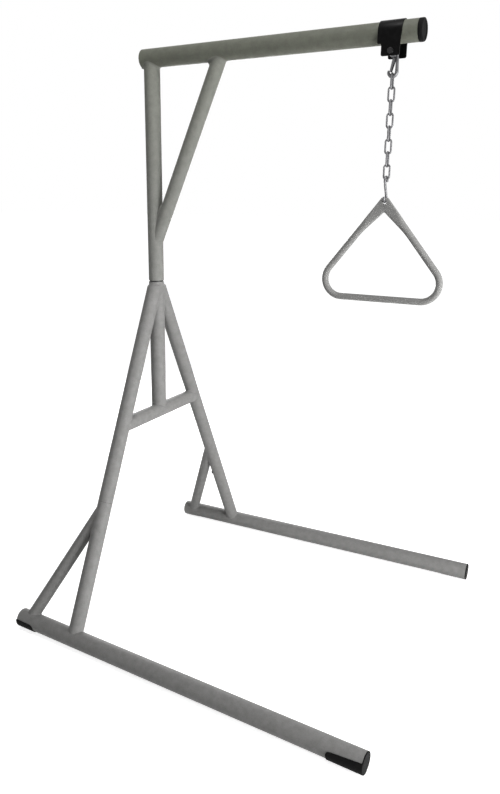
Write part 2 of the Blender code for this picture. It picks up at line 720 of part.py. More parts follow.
def strap_sheet():
    """The strap's inner surface before trimming: half round over the boom, with straight cheeks."""
    foot = -CHEEK_DROP - STRAP_SPARE
    section = [(-HALF_STRAP, foot)]
    section.extend(arc((0.0, 0.0), HALF_STRAP, 180, 0, 18))
    section.append((HALF_STRAP, foot))
    bm = bmesh.new()
    rows = []
    for along in (-STRAP_REAR - STRAP_SPARE, STRAP_FRONT + STRAP_SPARE):
        rows.append([bm.verts.new((along, across, up)) for across, up in section])
    for index in range(len(section) - 1):
        bm.faces.new((rows[0][index], rows[1][index], rows[1][index + 1], rows[0][index + 1]))
    return finish_mesh(bm, "clamp_strap", closed=False)


def strap_side_view():
    """The strap seen from the side: full length over the boom, stepped in to the cheeks."""
    top = BOOM_OD
    corners = ((-STRAP_REAR, top), (-STRAP_REAR, -STEP_DROP), (-CHEEK_REAR, -STEP_DROP), (-CHEEK_REAR, -CHEEK_DROP),
               (CHEEK_FRONT, -CHEEK_DROP), (CHEEK_FRONT, -STEP_DROP), (STRAP_FRONT, 0.0), (STRAP_FRONT, top))
    return rounded(corners, (0, STEP_ROUND, STEP_ROUND, CHEEK_CORNER, CHEEK_CORNER, STEP_ROUND, STEP_ROUND, 0))


def build_clamp(slide):
    """The strap, its bolt and what sits on the bolt. The slide's origin is on the boom axis."""
    strap = add_part("clamp_strap", strap_sheet(), BLACK_COAT, slide)
    wall = strap.modifiers.new("wall", "SOLIDIFY")
    wall.thickness = STRAP_THICK
    wall.offset = 1
    side_view = plate("strap_side_view", strap_side_view(), 2 * BOOM_OD, BLACK_COAT, slide)
    boolean(strap, as_tool(side_view), "INTERSECT")
    bolt_at = Vector((0, 0, -BOLT_DROP))
    boolean(strap, rod_tool("strap_bolt_hole", bolt_at - AXIS_Y * BOOM_OD, bolt_at + AXIS_Y * BOOM_OD,
                            BOLT_HOLE_D / 2, slide, sides=SMALL_SIDES))
    build_fixings(slide, bolt_at, HALF_STRAP + STRAP_THICK)
    eye_half = HOOK_WIRE_R + SEAT
    spacer_length = HALF_STRAP - SEAT - eye_half
    lay = aim((0, 0, 0), AXIS_Y)
    for side, word in ((-1, "right"), (1, "left")):
        place = bolt_at + AXIS_Y * (side * (eye_half + spacer_length / 2))
        ring("clamp_spacer_" + word, BOLT_D / 2 + SEAT, SPACER_D / 2, spacer_length, ZINC, slide, place, lay)


def hexagon(name, flats, height, bore, material, parent, place, turn):
    """A hexagonal prism from z = 0 up, bored through if a bore is given."""
    bm = bmesh.new()
    corner = flats / math.sqrt(3)
    bmesh.ops.create_cone(bm, cap_ends=True, segments=6, radius1=corner, radius2=corner, depth=height)
    bmesh.ops.translate(bm, verts=bm.verts, vec=(0, 0, height / 2))
    made = add_part(name, finish_mesh(bm, name), material, parent, place, turn)
    edge = made.modifiers.new("edge", "BEVEL")
    edge.width = HEX_CHAMFER
    edge.segments = 1
    if bore:
        top = place + turn @ AXIS_Z * height
        boolean(made, rod_tool(name + "_bore", place, top, bore / 2, parent, reach=height, sides=SMALL_SIDES))
    return made


def build_fixings(slide, bolt_at, face):
    """Bolt head and washer on the right cheek, washer and locking nut on the left one."""
    towards_left = aim((0, 0, 0), AXIS_Y)
    washer_mid = face + SEAT + WASHER_THICK / 2
    for side, word in ((-1, "right"), (1, "left")):
        ring("clamp_washer_" + word, BOLT_D / 2 + SEAT, WASHER_D / 2, WASHER_THICK, ZINC, slide,
             bolt_at + AXIS_Y * (side * washer_mid), towards_left)
    seat = face + WASHER_THICK + 2 * SEAT
    head_start = bolt_at - AXIS_Y * (seat + BOLT_HEAD)
    bolt = hexagon("clamp_bolt", BOLT_HEAD_FLATS, BOLT_HEAD, 0, ZINC, slide, head_start, towards_left)
    shank_end = bolt_at + AXIS_Y * (seat + NUT_HEIGHT + NUT_COLLAR + THREAD_END)
    shank_start = head_start + AXIS_Y * (BOLT_HEAD / 2)
    shank = rod_tool("clamp_bolt_shank", shank_start, shank_end, BOLT_D / 2, slide, sides=SMALL_SIDES)
    boolean(bolt, shank, "UNION")
    nut = hexagon("clamp_nut", BOLT_HEAD_FLATS, NUT_HEIGHT, BOLT_D + 2 * SEAT, ZINC, slide,
                  bolt_at + AXIS_Y * seat, towards_left)
    collar_mid = seat + NUT_HEIGHT + (NUT_COLLAR - NUT_COLLAR_SINK) / 2
    collar = ring("clamp_nut_collar", BOLT_D / 2 + SEAT, NUT_COLLAR_D / 2, NUT_COLLAR + NUT_COLLAR_SINK, ZINC,
                  slide, bolt_at + AXIS_Y * collar_mid, towards_left)
    boolean(nut, as_tool(collar), "UNION")


# Hook with its latch

def hook_path():
    """Centreline from the eye's front side down the back, round the bowl and up to the tip."""
    back = BOWL_X + BOWL_R
    path = [(EYE_R + across, up) for across, up in NECK]
    path.extend([(back, -NECK_DROP), (back, -SHANK_DROP)])
    path.extend(arc((BOWL_X, -BOWL_DROP), BOWL_R, 0, -180, 14))
    path.append((BOWL_X - BOWL_R, -BOWL_DROP + TIP_RISE * 0.6))
    path.append((BOWL_X - BOWL_R - TIP_OUT, -BOWL_DROP + TIP_RISE))
    return path


def hook_thickness(path):
    """Radius factor along the hook: swelling into the bowl's foot, then slimming to the tip."""
    foot = -BOWL_DROP - BOWL_R
    tip = path[-1][1]
    factors = []
    for across, up in path:
        if across > BOWL_X:
            share = min(1.0, max(0.0, (SWELL_DROP + up) / (SWELL_DROP + foot)))
            factors.append(1 + share * (BOWL_WIRE_R / HOOK_WIRE_R - 1))
        else:
            share = math.sqrt(min(1.0, (up - foot) / (tip - foot)))
            factors.append((BOWL_WIRE_R + share * (TIP_WIRE_R - BOWL_WIRE_R)) / HOOK_WIRE_R)
    return factors


def build_hook(swing):
    path = hook_path()
    points = [(across, 0.0, up) for across, up in path]
    bar = wire("hook_body", points, HOOK_WIRE_R, ZINC, swing, sides=HOOK_SIDES, taper=hook_thickness(path))
    hook = solid_from_curve(bar)
    eye = bmesh.new()
    bmesh.ops.create_circle(eye, segments=HOOK_SIDES, radius=HOOK_WIRE_R)
    bmesh.ops.translate(eye, verts=eye.verts, vec=(EYE_R, 0, 0))
    bmesh.ops.spin(eye, geom=eye.verts[:] + eye.edges[:], cent=(0, 0, 0), axis=(0, 1, 0), angle=math.tau,
                   steps=20, use_merge=True)
    bmesh.ops.remove_doubles(eye, verts=eye.verts, dist=0.00001)
    eye_tool = as_tool(add_part("hook_eye", finish_mesh(eye, "hook_eye"), ZINC, swing))
    boolean(hook, eye_tool, "UNION")
    pivot = Vector((LATCH_PIVOT_X, 0, -LATCH_PIVOT_DROP))
    nose_x = pivot.x - BOSS_R
    top = pivot.z + BOSS_R
    foot = pivot.z - BOSS_R
    corners = ((nose_x, top), (nose_x, foot), (BOSS_ROOT_X, foot - BOSS_ROOT_SPREAD[1]),
               (BOSS_ROOT_X, top + BOSS_ROOT_SPREAD[0]))
    boss_outline = rounded(corners, (BOSS_R * 0.95, BOSS_R * 0.95, 0, 0))
    boss = as_tool(plate("hook_boss", boss_outline, 2 * BOSS_HALF, ZINC, swing))
    boolean(hook, boss, "UNION")
    through = AXIS_Y * (2 * BOSS_HALF)
    boolean(hook, rod_tool("hook_pin_hole", pivot - through, pivot + through,
                           LATCH_PIN_D / 2 + SEAT, swing, sides=SMALL_SIDES))
    return pivot


def latch_line():
    """Where the latch's outer face meets the hook's tip, and its two directions, from the pin."""
    tip = Vector((BOWL_X - BOWL_R - LATCH_PIVOT_X, -BOWL_DROP + TIP_RISE + LATCH_PIVOT_DROP))
    touch = tip + Vector((TIP_WIRE_R + 2 * SEAT, -LATCH_LAP))
    lean = math.atan2(-touch.x, -touch.y) - math.asin(LATCH_DEPTH / 2 / touch.length)
    reach = Vector((-math.sin(lean), -math.cos(lean)))
    inwards = Vector((-reach.y, reach.x))
    return touch.dot(reach), reach, inwards


def build_latch(axis):
    """A pressed channel that closes the hook's mouth, with its two ears on the pin."""
    length, reach, inwards = latch_line()
    half = LATCH_DEPTH / 2
    ears = [(-LATCH_HEAD_R, -LATCH_HEAD_R), (length, -half), (length, half), (-LATCH_HEAD_R, LATCH_HEAD_R)]
    radii = (LATCH_HEAD_R * 0.9, LATCH_SHEET, LATCH_SHEET, LATCH_HEAD_R * 0.9)
    outline = [reach * along + inwards * aside for along, aside in rounded(ears, radii)]
    latch = plate("hook_latch", outline, 2 * LATCH_HALF, ZINC, axis)
    start = BOSS_R + 4 * SEAT
    past = 2 * LATCH_HEAD_R
    hollow = [(-past, -past), (start, -past), (start, -half + LATCH_SHEET), (length + past, -half + LATCH_SHEET)]
    hollow.extend([(length + past, past), (-past, past)])
    pocket = [reach * along + inwards * aside for along, aside in hollow]
    boolean(latch, as_tool(plate("latch_channel", pocket, 2 * (LATCH_HALF - LATCH_SHEET), ZINC, axis)))
    through = AXIS_Y * (2 * LATCH_HALF)
    boolean(latch, rod_tool("latch_pin_hole", -through, through, LATCH_PIN_D / 2 + SEAT, axis, sides=SMALL_SIDES))


def build_latch_pin(swing, pivot):
    half = LATCH_HALF + LATCH_PIN_SPARE
    head = LATCH_PIN_HEAD
    radius = LATCH_PIN_D / 2
    wide = radius * 1.5
    profile = ((0.0, half + head), (wide * 0.8, half + head), (wide, half + head * 0.5), (wide, half), (radius, half),
               (radius, -half), (wide, -half), (wide, -half - head * 0.5), (wide * 0.8, -half - head), (0.0, -half - head))
    turned("latch_pin", profile, ZINC, swing, pivot, aim((0, 0, 0), AXIS_Y), sides=SMALL_SIDES)


def build_latch_spring(swing, pivot):
    """A torsion spring on the latch pin, with one tail down the latch and one against the hook."""
    inwards = latch_line()[2]
    begin = math.atan2(inwards.y, inwards.x)
    end = math.radians(SPRING_TAIL_DEG) + math.tau
    steps = 16
    start = BOSS_HALF + SEAT + SPRING_WIRE / 2
    climb = (SPRING_WIRE + SEAT / 2) * (end - begin) / math.tau
    points = []
    for step in range(steps + 1):
        angle = begin + (end - begin) * step / steps
        points.append(Vector((SPRING_R * math.cos(angle), start + climb * step / steps, SPRING_R * math.sin(angle))))
    first = Vector((math.sin(begin), 0, -math.cos(begin)))
    last = Vector((-math.sin(end), 0, math.cos(end)))
    points.insert(0, points[0] + first * SPRING_TAILS[0])
    points.append(points[-1] + last * SPRING_TAILS[1])
    wire("latch_spring", points, SPRING_WIRE / 2, ZINC, swing, pivot, sides=8)


# Chain, S-hook and grip

def link_points(flat_in_xz):
    """Centreline of a link whose hinge, the wire it hangs on, is at the origin."""
    straight = LINK_HALF - LINK_BEND
    outline = arc((0.0, straight), LINK_BEND, 0, 180, CHAIN_BEND_STEPS)
    outline.extend(arc((0.0, -straight), LINK_BEND, 180, 360, CHAIN_BEND_STEPS))
    if flat_in_xz:
        return [(across, 0.0, up) for across, up in outline]
    return [(0.0, across, up) for across, up in outline]


def build_chain(hook_axis):
    """The links, each under an empty at the centre of the wire that it hangs on."""
    parent = hook_axis
    hang = Vector((BOWL_X, 0, -BOWL_DROP - BOWL_R))
    crown = BOWL_WIRE_R + SEAT + CHAIN_WIRE / 2
    for index in range(CHAIN_LINKS):
        name = "chain_link_%d" % (index + 1)
        axis = add_axis(name + "_axis", parent, hang)
        centre = crown - LINK_HALF
        points = [(x, y, z + centre) for x, y, z in link_points(index % 2 == 1)]
        wire(name, points, CHAIN_WIRE / 2, ZINC, axis, cyclic=True, sides=8)
        parent = axis
        hang = Vector((0, 0, centre - LINK_HALF))
        crown = CHAIN_WIRE + SEAT
    return parent, hang


def s_hook_points():
    """Centreline of the S-hook in the Y-Z plane, from its upper tail down to its lower one."""
    top = CHAIN_WIRE / 2 + SEAT + S_WIRE / 2
    upper = (0.0, top - S_LOOP_R)
    lower = (0.0, top - S_LENGTH + S_LOOP_R)
    gap = Vector(upper) - Vector(lower)
    lean = math.degrees(math.asin(min(1.0, 2 * S_LOOP_R / gap.length)))
    path = [(S_LOOP_R, upper[1] - S_OPEN_TAIL)]
    path.extend(arc(upper, S_LOOP_R, 0, 180 + lean, 13))
    path.extend(arc(lower, S_LOOP_R, lean, -180, 13))
    path.append((-S_LOOP_R, lower[1] + S_OPEN_TAIL))
    return [(0.0, across, up) for across, up in path]


def build_s_hook(parent, hang):
    axis = add_axis("s_hook_axis", parent, hang)
    wire("s_hook", s_hook_points(), S_WIRE / 2, ZINC, axis, sides=8)
    top = CHAIN_WIRE / 2 + SEAT + S_WIRE / 2
    return axis, Vector((0, 0, top - S_LENGTH))


def grip_frame():
    """Corner centre, an arm's angle, outward and upward directions, its start and its length."""
    half = GRIP_OD / 2
    corner = Vector((GRIP_WIDTH / 2 - half - GRIP_BEND_R, -GRIP_DROP + GRIP_BEND_R))
    apex = Vector((0, GRIP_APEX_RISE)) - corner
    arm = math.atan2(corner.x, apex.y) + math.asin(GRIP_BEND_R / apex.length)
    out = Vector((math.cos(arm), math.sin(arm)))
    way = Vector((-math.sin(arm), math.cos(arm)))
    start = corner + out * GRIP_BEND_R
    return corner, arm, out, way, start, start.x / math.sin(arm)


def grip_section(inner, outer, left):
    """Middle, outward direction, half sizes and squareness of an arm's section between its edges."""
    press = min(1.0, max(0.0, (GRIP_FLAT_START - left) / GRIP_FLAT_RUN))
    press = press * press * (3 - 2 * press)
    thin = GRIP_OD / 2 + (GRIP_FLAT_HALF - GRIP_OD / 2) * press
    across = outer - inner
    return (inner + outer) / 2, across.normalized(), across.length / 2, thin, press


def grip_stations():
    """The sections of half the grip, from the middle of the bar round to the apex."""
    half = GRIP_OD / 2
    corner, arm, out, way, start, length = grip_frame()
    stations = []
    for share in (0.0, 0.5):
        stations.append((Vector((corner.x * share, -GRIP_DROP)), Vector((0, -1)), half, half, 0.0))
    steps = 10
    for step in range(steps + 1):
        angle = (math.pi / 2 + arm) * step / steps - math.pi / 2
        aside = Vector((math.cos(angle), math.sin(angle)))
        stations.append((corner + aside * GRIP_BEND_R, aside, half, half, 0.0))
    edge = start + out * half
    widening = math.tan(math.radians(GRIP_FLARE_DEG))
    for share in (1.0, 0.88, 0.76, 0.66, 0.56, 0.46, 0.36):
        run = GRIP_FLARE_LENGTH * (1 - share)
        run = min(run, GRIP_FLARE_EASE) ** 2 / (2 * GRIP_FLARE_EASE) + max(0.0, run - GRIP_FLARE_EASE)
        left = GRIP_FLARE_LENGTH * share
        outer = edge + way * (length - left)
        inner = outer - out * (GRIP_OD + run * widening)
        stations.append(grip_section(inner, outer, left))
    stations.extend(apex_stations(inner, edge, out, arm))
    return stations


def apex_stations(inner, edge, out, arm):
    """The last sections: they fan out from an arm to the middle, round the inner corner."""
    slope = arm + math.radians(GRIP_FLARE_DEG)
    corner_z = inner.y + inner.x / math.tan(slope) - GRIP_APEX_ROUND / math.sin(slope)
    first = Vector((0, corner_z)) + Vector((math.cos(slope), math.sin(slope))) * GRIP_APEX_ROUND
    outer = first + out * (edge - first).dot(out)
    rise = outer.x / math.tan(arm)
    stations = []
    steps = 4
    for step in range(steps + 1):
        share = step / steps
        angle = slope + (math.pi / 2 - slope) * share
        inside = Vector((0, corner_z)) + Vector((math.cos(angle), math.sin(angle))) * GRIP_APEX_ROUND
        outside = Vector((outer.x * (1 - share), outer.y + rise * share))
        stations.append(grip_section(inside, outside, 0.0))
    return stations


def build_grip(parent, hang):
    """Half of the bent bar is lofted and mirrored; its flattened top is trimmed and drilled."""
    axis = add_axis("grip_axis", parent, hang)
    bm = bmesh.new()
    rings = []
    for middle, out, wide, thin, press in grip_stations():
        row = []
        power = 1 / (1 + 1.5 * press)
        for step in range(GRIP_SIDES):
            angle = math.tau * step / GRIP_SIDES
            across = math.copysign(abs(math.cos(angle)) ** power, math.cos(angle))
            aside = math.copysign(abs(math.sin(angle)) ** power, math.sin(angle))
            spot = middle + out * (wide * across)
            row.append(bm.verts.new((spot.x, thin * aside, spot.y)))
        rings.append(row)
    for first, second in zip(rings, rings[1:]):
        for step in range(GRIP_SIDES):
            after = (step + 1) % GRIP_SIDES
            bm.faces.new((first[step], first[after], second[after], second[step]))
    grip = add_part("hand_grip", finish_mesh(bm, "hand_grip"), GRIP_COAT, axis)
    mirror = grip.modifiers.new("mirror", "MIRROR")
    mirror.use_clip = True
    mirror.merge_threshold = 0.00005
    wide = GRIP_WIDTH / 2
    boolean(grip, box_tool("grip_top_trim", (-wide, -wide, GRIP_TOP), (wide, wide, wide), axis))
    bore = S_LOOP_R - S_WIRE / 2
    hole_top = S_LOOP_R - math.sqrt(bore ** 2 - (GRIP_FLAT_HALF - GRIP_HOLE_CHAMFER) ** 2) + SEAT
    hole = Vector((0, 0, hole_top - GRIP_HOLE_D / 2))
    reach = AXIS_Y * (GRIP_FLAT_HALF + GRIP_HOLE_CHAMFER)
    boolean(grip, rod_tool("grip_hole", hole - reach, hole + reach, GRIP_HOLE_D / 2, axis, sides=GRIP_HOLE_SIDES))
    for side, word in ((-1, "right"), (1, "left")):
        boolean(grip, countersink("grip_hole_" + word, hole + reach * side, -AXIS_Y * side, axis))


def countersink(name, mouth, inwards, parent):
    """A cone that breaks the edge of the grip's hole, from outside the plate inwards."""
    depth = 2 * GRIP_HOLE_CHAMFER
    bm = bmesh.new()
    wide = GRIP_HOLE_D / 2 + depth
    bmesh.ops.create_cone(bm, cap_ends=True, segments=GRIP_HOLE_SIDES, radius1=wide, radius2=wide - depth, depth=depth)
    bmesh.ops.translate(bm, verts=bm.verts, vec=(0, 0, depth / 2))
    return as_tool(add_part(name, finish_mesh(bm, name), GRIP_COAT, parent, mouth, aim((0, 0, 0), inwards)))


def build_trapeze():
    stand = add_axis("stand_origin", None, (MAST_X, 0, 0))
    build_boom(stand)
    hole = build_mast(stand)
    post_bite, top_trim = build_post(stand, hole)
    build_button("mast", Vector((0, 0, POST_TOP - MAST_BUTTON_DROP)), -AXIS_X, -AXIS_Z, POST_OD, POST_WALL, stand)
    build_cross_bar(stand)
    for side, word in ((-1, "right"), (1, "left")):
        build_leg(stand, side, word, post_bite, top_trim)
    slide = add_axis("clamp_slide_axis", stand, (CHAIN_X, 0, BOOM_Z))
    build_clamp(slide)
    hook_axis = add_axis("hook_axis", slide, (0, 0, -BOLT_DROP))
    pivot = build_hook(hook_axis)
    latch_axis = add_axis("latch_axis", hook_axis, pivot)
    build_latch(latch_axis)
    build_latch_pin(hook_axis, pivot)
    build_latch_spring(hook_axis, pivot)
    last_axis, hang = build_chain(hook_axis)
    s_axis, hang = build_s_hook(last_axis, hang)
    build_grip(s_axis, hang)


build_trapeze()
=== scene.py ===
"""Freestanding trapeze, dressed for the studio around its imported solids.

The tubes, their welds, the rubber ends, the clamp, the hook, the chain and the grip are made
again from the frame's own sizes with rounder sections. Every piece gets a node-made finish.
"""
import json
import math

import bmesh
import bpy
from mathutils import Euler, Matrix, Vector


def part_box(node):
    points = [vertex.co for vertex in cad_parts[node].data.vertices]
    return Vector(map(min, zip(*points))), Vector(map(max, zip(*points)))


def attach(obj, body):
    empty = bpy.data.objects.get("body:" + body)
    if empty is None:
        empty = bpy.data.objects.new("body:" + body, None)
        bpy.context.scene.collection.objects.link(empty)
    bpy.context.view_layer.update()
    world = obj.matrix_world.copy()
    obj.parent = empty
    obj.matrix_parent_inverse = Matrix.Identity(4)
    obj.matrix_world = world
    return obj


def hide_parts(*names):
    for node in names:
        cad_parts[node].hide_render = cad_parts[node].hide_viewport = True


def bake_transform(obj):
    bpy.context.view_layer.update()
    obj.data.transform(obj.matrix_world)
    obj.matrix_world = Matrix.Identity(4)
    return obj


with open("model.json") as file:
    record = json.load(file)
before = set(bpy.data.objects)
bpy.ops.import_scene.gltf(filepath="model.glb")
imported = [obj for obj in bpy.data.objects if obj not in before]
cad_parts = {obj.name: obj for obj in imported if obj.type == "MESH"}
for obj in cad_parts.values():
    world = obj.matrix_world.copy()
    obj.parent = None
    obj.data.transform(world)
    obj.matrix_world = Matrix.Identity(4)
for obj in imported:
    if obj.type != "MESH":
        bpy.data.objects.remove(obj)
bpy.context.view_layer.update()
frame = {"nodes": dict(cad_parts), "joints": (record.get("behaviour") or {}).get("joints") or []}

# Sizes in metres, as on the frame
SEAT = 0.0003
MAST_X = -0.3885223       # mast axis, along the boom
BOOM_OD = 0.057
BOOM_WALL = 0.0025
BOOM_Z = 1.802
BOOM_TAIL = 0.031
BOOM_REACH = 0.841
MAST_OD = 0.051
MAST_WALL = 0.0025
MAST_FOOT = 1.112
MAST_BRACE_OD = 0.044
MAST_BRACE_WALL = 0.002
MAST_BRACE_X = 0.254
MAST_BRACE_Z = 1.232
POST_TOP = 1.108
MAST_GAP = MAST_FOOT - POST_TOP
LEG_OD = 0.048
LEG_WALL = 0.0025
LEG_TOP = 1.095
APEX_Z = 1.116
SEAM_Z = 0.4265
SEAM_GAP = 0.0006
CROSS_OD = 0.048
CROSS_Z = 0.657
HALF_SPACING = 0.520
LEG_LEAN = 0.015
RAIL_OD = 0.057
RAIL_WALL = 0.002
RAIL_Z = 0.0305
RAIL_BACK = 0.230
RAIL_FRONT = 0.976
TOE_OUT = math.radians(2.0)
BRACE_OD = 0.040
BRACE_WALL = 0.002
BRACE_LEG_Z = 0.415
BRACE_REACH = 0.196
LIP = 0.0004              # broken edge at a tube's free end
BROKEN = 0.0003           # broken edge of a turned or moulded piece

# Smoothness
ROUND = 96                # flats round a stand tube
SHARP_DEG = 35            # creases that stay sharp
SOFT_DEG = 60
MERGE = 0.000002          # points closer than this are one
WELD_STEPS = 144
WELD_ARC_STEPS = 7
CROWN_STEPS = 96
TONGUE_ROWS = 40
TONGUE_COLUMNS = 56
GRIP_SIDES = 40
FOOT_VOXEL = 0.0009
HOOK_VOXEL = 0.00042

# Welds: the radius of the ball that would roll along the fillet
WELD = 0.004
MAST_WELD = 0.010
BOOM_BRACE_WELD = 0.011
MAST_BRACE_WELD = 0.0035
BRACE_TOP_WELD = 0.0018
WELD_SINK = 0.001         # how far a weld reaches into its tubes
WELD_LEAST = 0.1          # radians of fillet at which a weld runs out
CROWN_RISE = 0.009
CROWN_SLOPE = 0.8
CROWN_LEAST = 0.0002
CROWN_SINK = 0.003
CROWN_INSET = 0.002
CROWN_EDGE = 0.0001       # kept back from the leg's outer edge

# Inner tubes and buttons
INSERT_WALL = 0.003
LEG_INSERT_UP = 0.060
LEG_INSERT_DOWN = 0.190
MAST_INSERT_UP = 0.150
MAST_INSERT_DOWN = 0.130
BUTTON_D = 0.012
BUTTON_PROUD = 0.0035
BUTTON_DOME = 0.0028
BUTTON_FLANGE_D = 0.0155
BUTTON_FLANGE = 0.0014
BUTTON_HOLE = (0.008, 0.040)   # where its drill starts and ends, from the tube's axis
LEG_BUTTON_DROP = 0.150
MAST_BUTTON_DROP = 0.055

# Rubber and plastic ends
PLUG_DEPTH = 0.024
RIB_HEIGHT = 0.0012
PLUG_SHOULDER = 0.004
FOOT_WALL = 0.0022
FOOT_ROUND = 0.0012
FRONT_FLANGE = 0.0035
REAR_LIP = 0.002
FRONT_TONGUE = 0.100
REAR_TONGUE = 0.0735
TONGUE_INNER_DEG = -104.0
FRONT_TONGUE_TOP = (20.0, 32.0)   # degrees above the tube's side, at the tongue's end and at the end plate
REAR_TONGUE_TOP = (9.0, 12.0)
TONGUE_CORNER = 0.012
TONGUE_EDGE = 0.45        # share of its thickness that is left at its edge
LIP_INSET_DEG = 2.0
LIP_OVERLAP = 0.0014
LIP_SINK = 0.0002
CAP_FLANGE = 0.012
CAP_ROUND = 0.0035
CAP_DISH = 0.0022
CAP_DISH_R = 0.0215
CAP_FILLET = 0.0015
CAP_RIM = 0.0008
PLUG_DISH = 0.0004
PLUG_RIM = 0.0036
PLUG_CHAMFER = 0.0008

# Clamp
CHAIN_X = 0.775
BOLT_DROP = 0.0475
BOLT_D = 0.008
BOLT_HOLE_D = 0.0088
BOLT_CHAMFER = 0.0008
BOLT_RUN_OUT = 0.004      # thread that stays under the nut's washer
STRAP_THICK = 0.0025
STRAP_EDGE = 0.0005
HALF_STRAP = BOOM_OD / 2 + SEAT
STRAP_REAR = 0.0365
STRAP_FRONT = 0.0275
STRAP_SPARE = 0.005       # trimmed off again
CHEEK_REAR = 0.0255
CHEEK_FRONT = 0.0245
CHEEK_DROP = 0.0595
STEP_DROP = 0.029
STEP_ROUND = 0.0035
CHEEK_CORNER = 0.005
BOLT_FLATS = 0.013
TRIM_SPARE = 0.001        # how far a trimming shape stands out of what it trims
BOLT_HEAD = 0.0053
HEAD_FACE = 0.95          # share of the flats' width that its turned face takes
HEAD_CHAMFER_DEG = 25
HEAD_EDGE = 0.00015
NUT_HEIGHT = 0.0065
NUT_COLLAR = 0.0018
NUT_COLLAR_D = 0.0114
COLLAR_SINK = 0.002
COLLAR_ROUND = (0.0007, 0.0002)   # its corner, rounded in two steps
WASHER_D = 0.016
WASHER_THICK = 0.0016
THREAD_END = 0.003
THREAD_PITCH = 0.00125
THREAD_DEPTH = 0.0006
SPACER_D = 0.014

# Hook
EYE_R = 0.0084
HOOK_WIRE_R = 0.0040
BOWL_WIRE_R = 0.0050
TIP_WIRE_R = 0.0036
BOWL_R = 0.011
BOWL_X = -0.0005
BOWL_DROP = 0.048
TIP_RISE = 0.0035
HOOK_TIP_ROUND = 0.0016
TIP_SHARES = (0.0, 0.12, 0.3, 0.55, 0.8)   # rings of a rounded tip
TIP_LEAST = 0.02
NECK = ((-0.0007, 0.002), (0.0004, -0.006), (0.0013, -0.014))
SHANK_DROPS = (0.022, 0.036)   # the straight of its back, below the eye
SWELL_DROP = 0.028        # where the wire starts to swell
TIP_LEAN = 0.0004
PIN_X = 0.0022
PIN_DROP = 0.0175
PIN_D = 0.0026
BOSS_R = 0.0034
BOSS_HALF = 0.0025
BOSS_ROOT_X = 0.009       # inside the hook's back
BOSS_FLARE = (0.001, 0.002)    # how much deeper and higher it is there
BOSS_ROUND = BOSS_R * 0.95
PIN_HOLE_HALF = 0.005

# Chain, S-hook and grip
CHAIN_WIRE = 0.005
CHAIN_WIDTH = 0.021
CHAIN_PITCH = 0.033
CHAIN_LINKS = 8
BEAD_HALF = 0.0028        # half the length of a link's weld bead
S_WIRE = 0.007
S_LOOP_R = 0.01005
S_LENGTH = 0.0665
S_TAIL = 0.004
S_TIP_ROUND = 0.0009
GRIP_OD = 0.019
GRIP_WIDTH = 0.352
GRIP_BEND_R = 0.0505
GRIP_DROP = 0.26925
GRIP_APEX_RISE = 0.00715
GRIP_FLARE_DEG = 7.8
GRIP_FLARE_LENGTH = 0.127
GRIP_FLARE_EASE = 0.030
GRIP_FLAT_HALF = 0.004
GRIP_FLAT_START = 0.090
GRIP_FLAT_RUN = 0.060
GRIP_TOP = 0.01125
GRIP_HOLE_D = 0.011
GRIP_HOLE_CHAMFER = 0.0012
GRIP_APEX_ROUND = 0.005
DRILL_SPARE = 0.002
GRIP_TRIM = 0.1           # half the width of the block that trims its top
GRIP_BLEND = 0.36         # share of its flare that is left where the inner corner starts

# Finishes: light, dark and fleck of a coat; light, dull and spangle of zinc; clean and dusty of a black
STAND_TONES = ((0.245, 0.243, 0.238), (0.212, 0.210, 0.205), (0.12, 0.12, 0.117))
# The mast's copy of the stand coat is lighter, painted light; the top tint darkens it and turns it olive
# towards the boom, painted shade.
MAST_PAINTED_LIGHT_TONES = ((0.262, 0.262, 0.252), (0.226, 0.226, 0.217), (0.13, 0.13, 0.125))
MAST_TOP_PAINTED_SHADE = (0.80, 0.82, 0.75)
# The boom's copy of the stand coat is darker and olive; its darkness is painted shade, for a boom the lamps
# light less than the mast.
BOOM_PAINTED_SHADE_TONES = ((0.150, 0.156, 0.128), (0.128, 0.133, 0.109), (0.080, 0.083, 0.068))
GRIP_TONES = ((0.255, 0.254, 0.248), (0.225, 0.224, 0.219), (0.17, 0.17, 0.167))
ZINC_TONES = ((0.175, 0.175, 0.18), (0.11, 0.11, 0.113), (0.22, 0.22, 0.228))
# Near-black zinc: black zinc on the clamp's bolt, nut, washers and spacers, and painted shade on the inner
# tubes seen in the gap under the mast.
BLACK_ZINC_AND_GAP_SHADE_TONES = ((0.030, 0.030, 0.030), (0.016, 0.016, 0.016), (0.045, 0.045, 0.046))
BLACK_COAT_TONES = ((0.0022, 0.0022, 0.0022), (0.0045, 0.0045, 0.0046))
RUBBER_TONES = ((0.0045, 0.0045, 0.0045), (0.011, 0.0108, 0.0105))
PLASTIC_TONES = ((0.009, 0.009, 0.0095), (0.015, 0.015, 0.016))

# Studio
CAMERA_PLACE = (1.0566, -2.0709, 1.4188)
YAW = 2.1121
PITCH = -0.2744
ROLL = -0.0027
LENS = 33.634
SENSOR = 36
LENS_SHIFT = (0.05355, -0.0034)
LAMPS = (                 # name, place, target, width and watts
    ("low_key", (2.6, -1.0, 0.4), (-0.2, 0, 0.7), 1.0, 64),
    ("side", (3.0, -0.2, 1.2), (-0.3, 0, 0.9), 1.0, 46),
    ("top", (0.2, -0.8, 3.6), (-0.1, 0, 0.5), 1.0, 41),
    ("back", (-1.8, 2.6, 1.5), (-0.1, 0, 0.9), 1.6, 60),
)
WORLD_FILL = 0.15
FLOOR_DROP = 0.0005
FLOOR_HALF = 30
FLOOR_REACH = (1.2, 4.0)  # between these distances the floor's own glow rises from one level to the other
FLOOR_GLOW = (0.80, 1.0)

UP = Vector((0, 0, 1))
FORWARD = Vector((1, 0, 0))
LEFT = Vector((0, 1, 0))
SIDES = ((-1, "right"), (1, "left"))


# Building

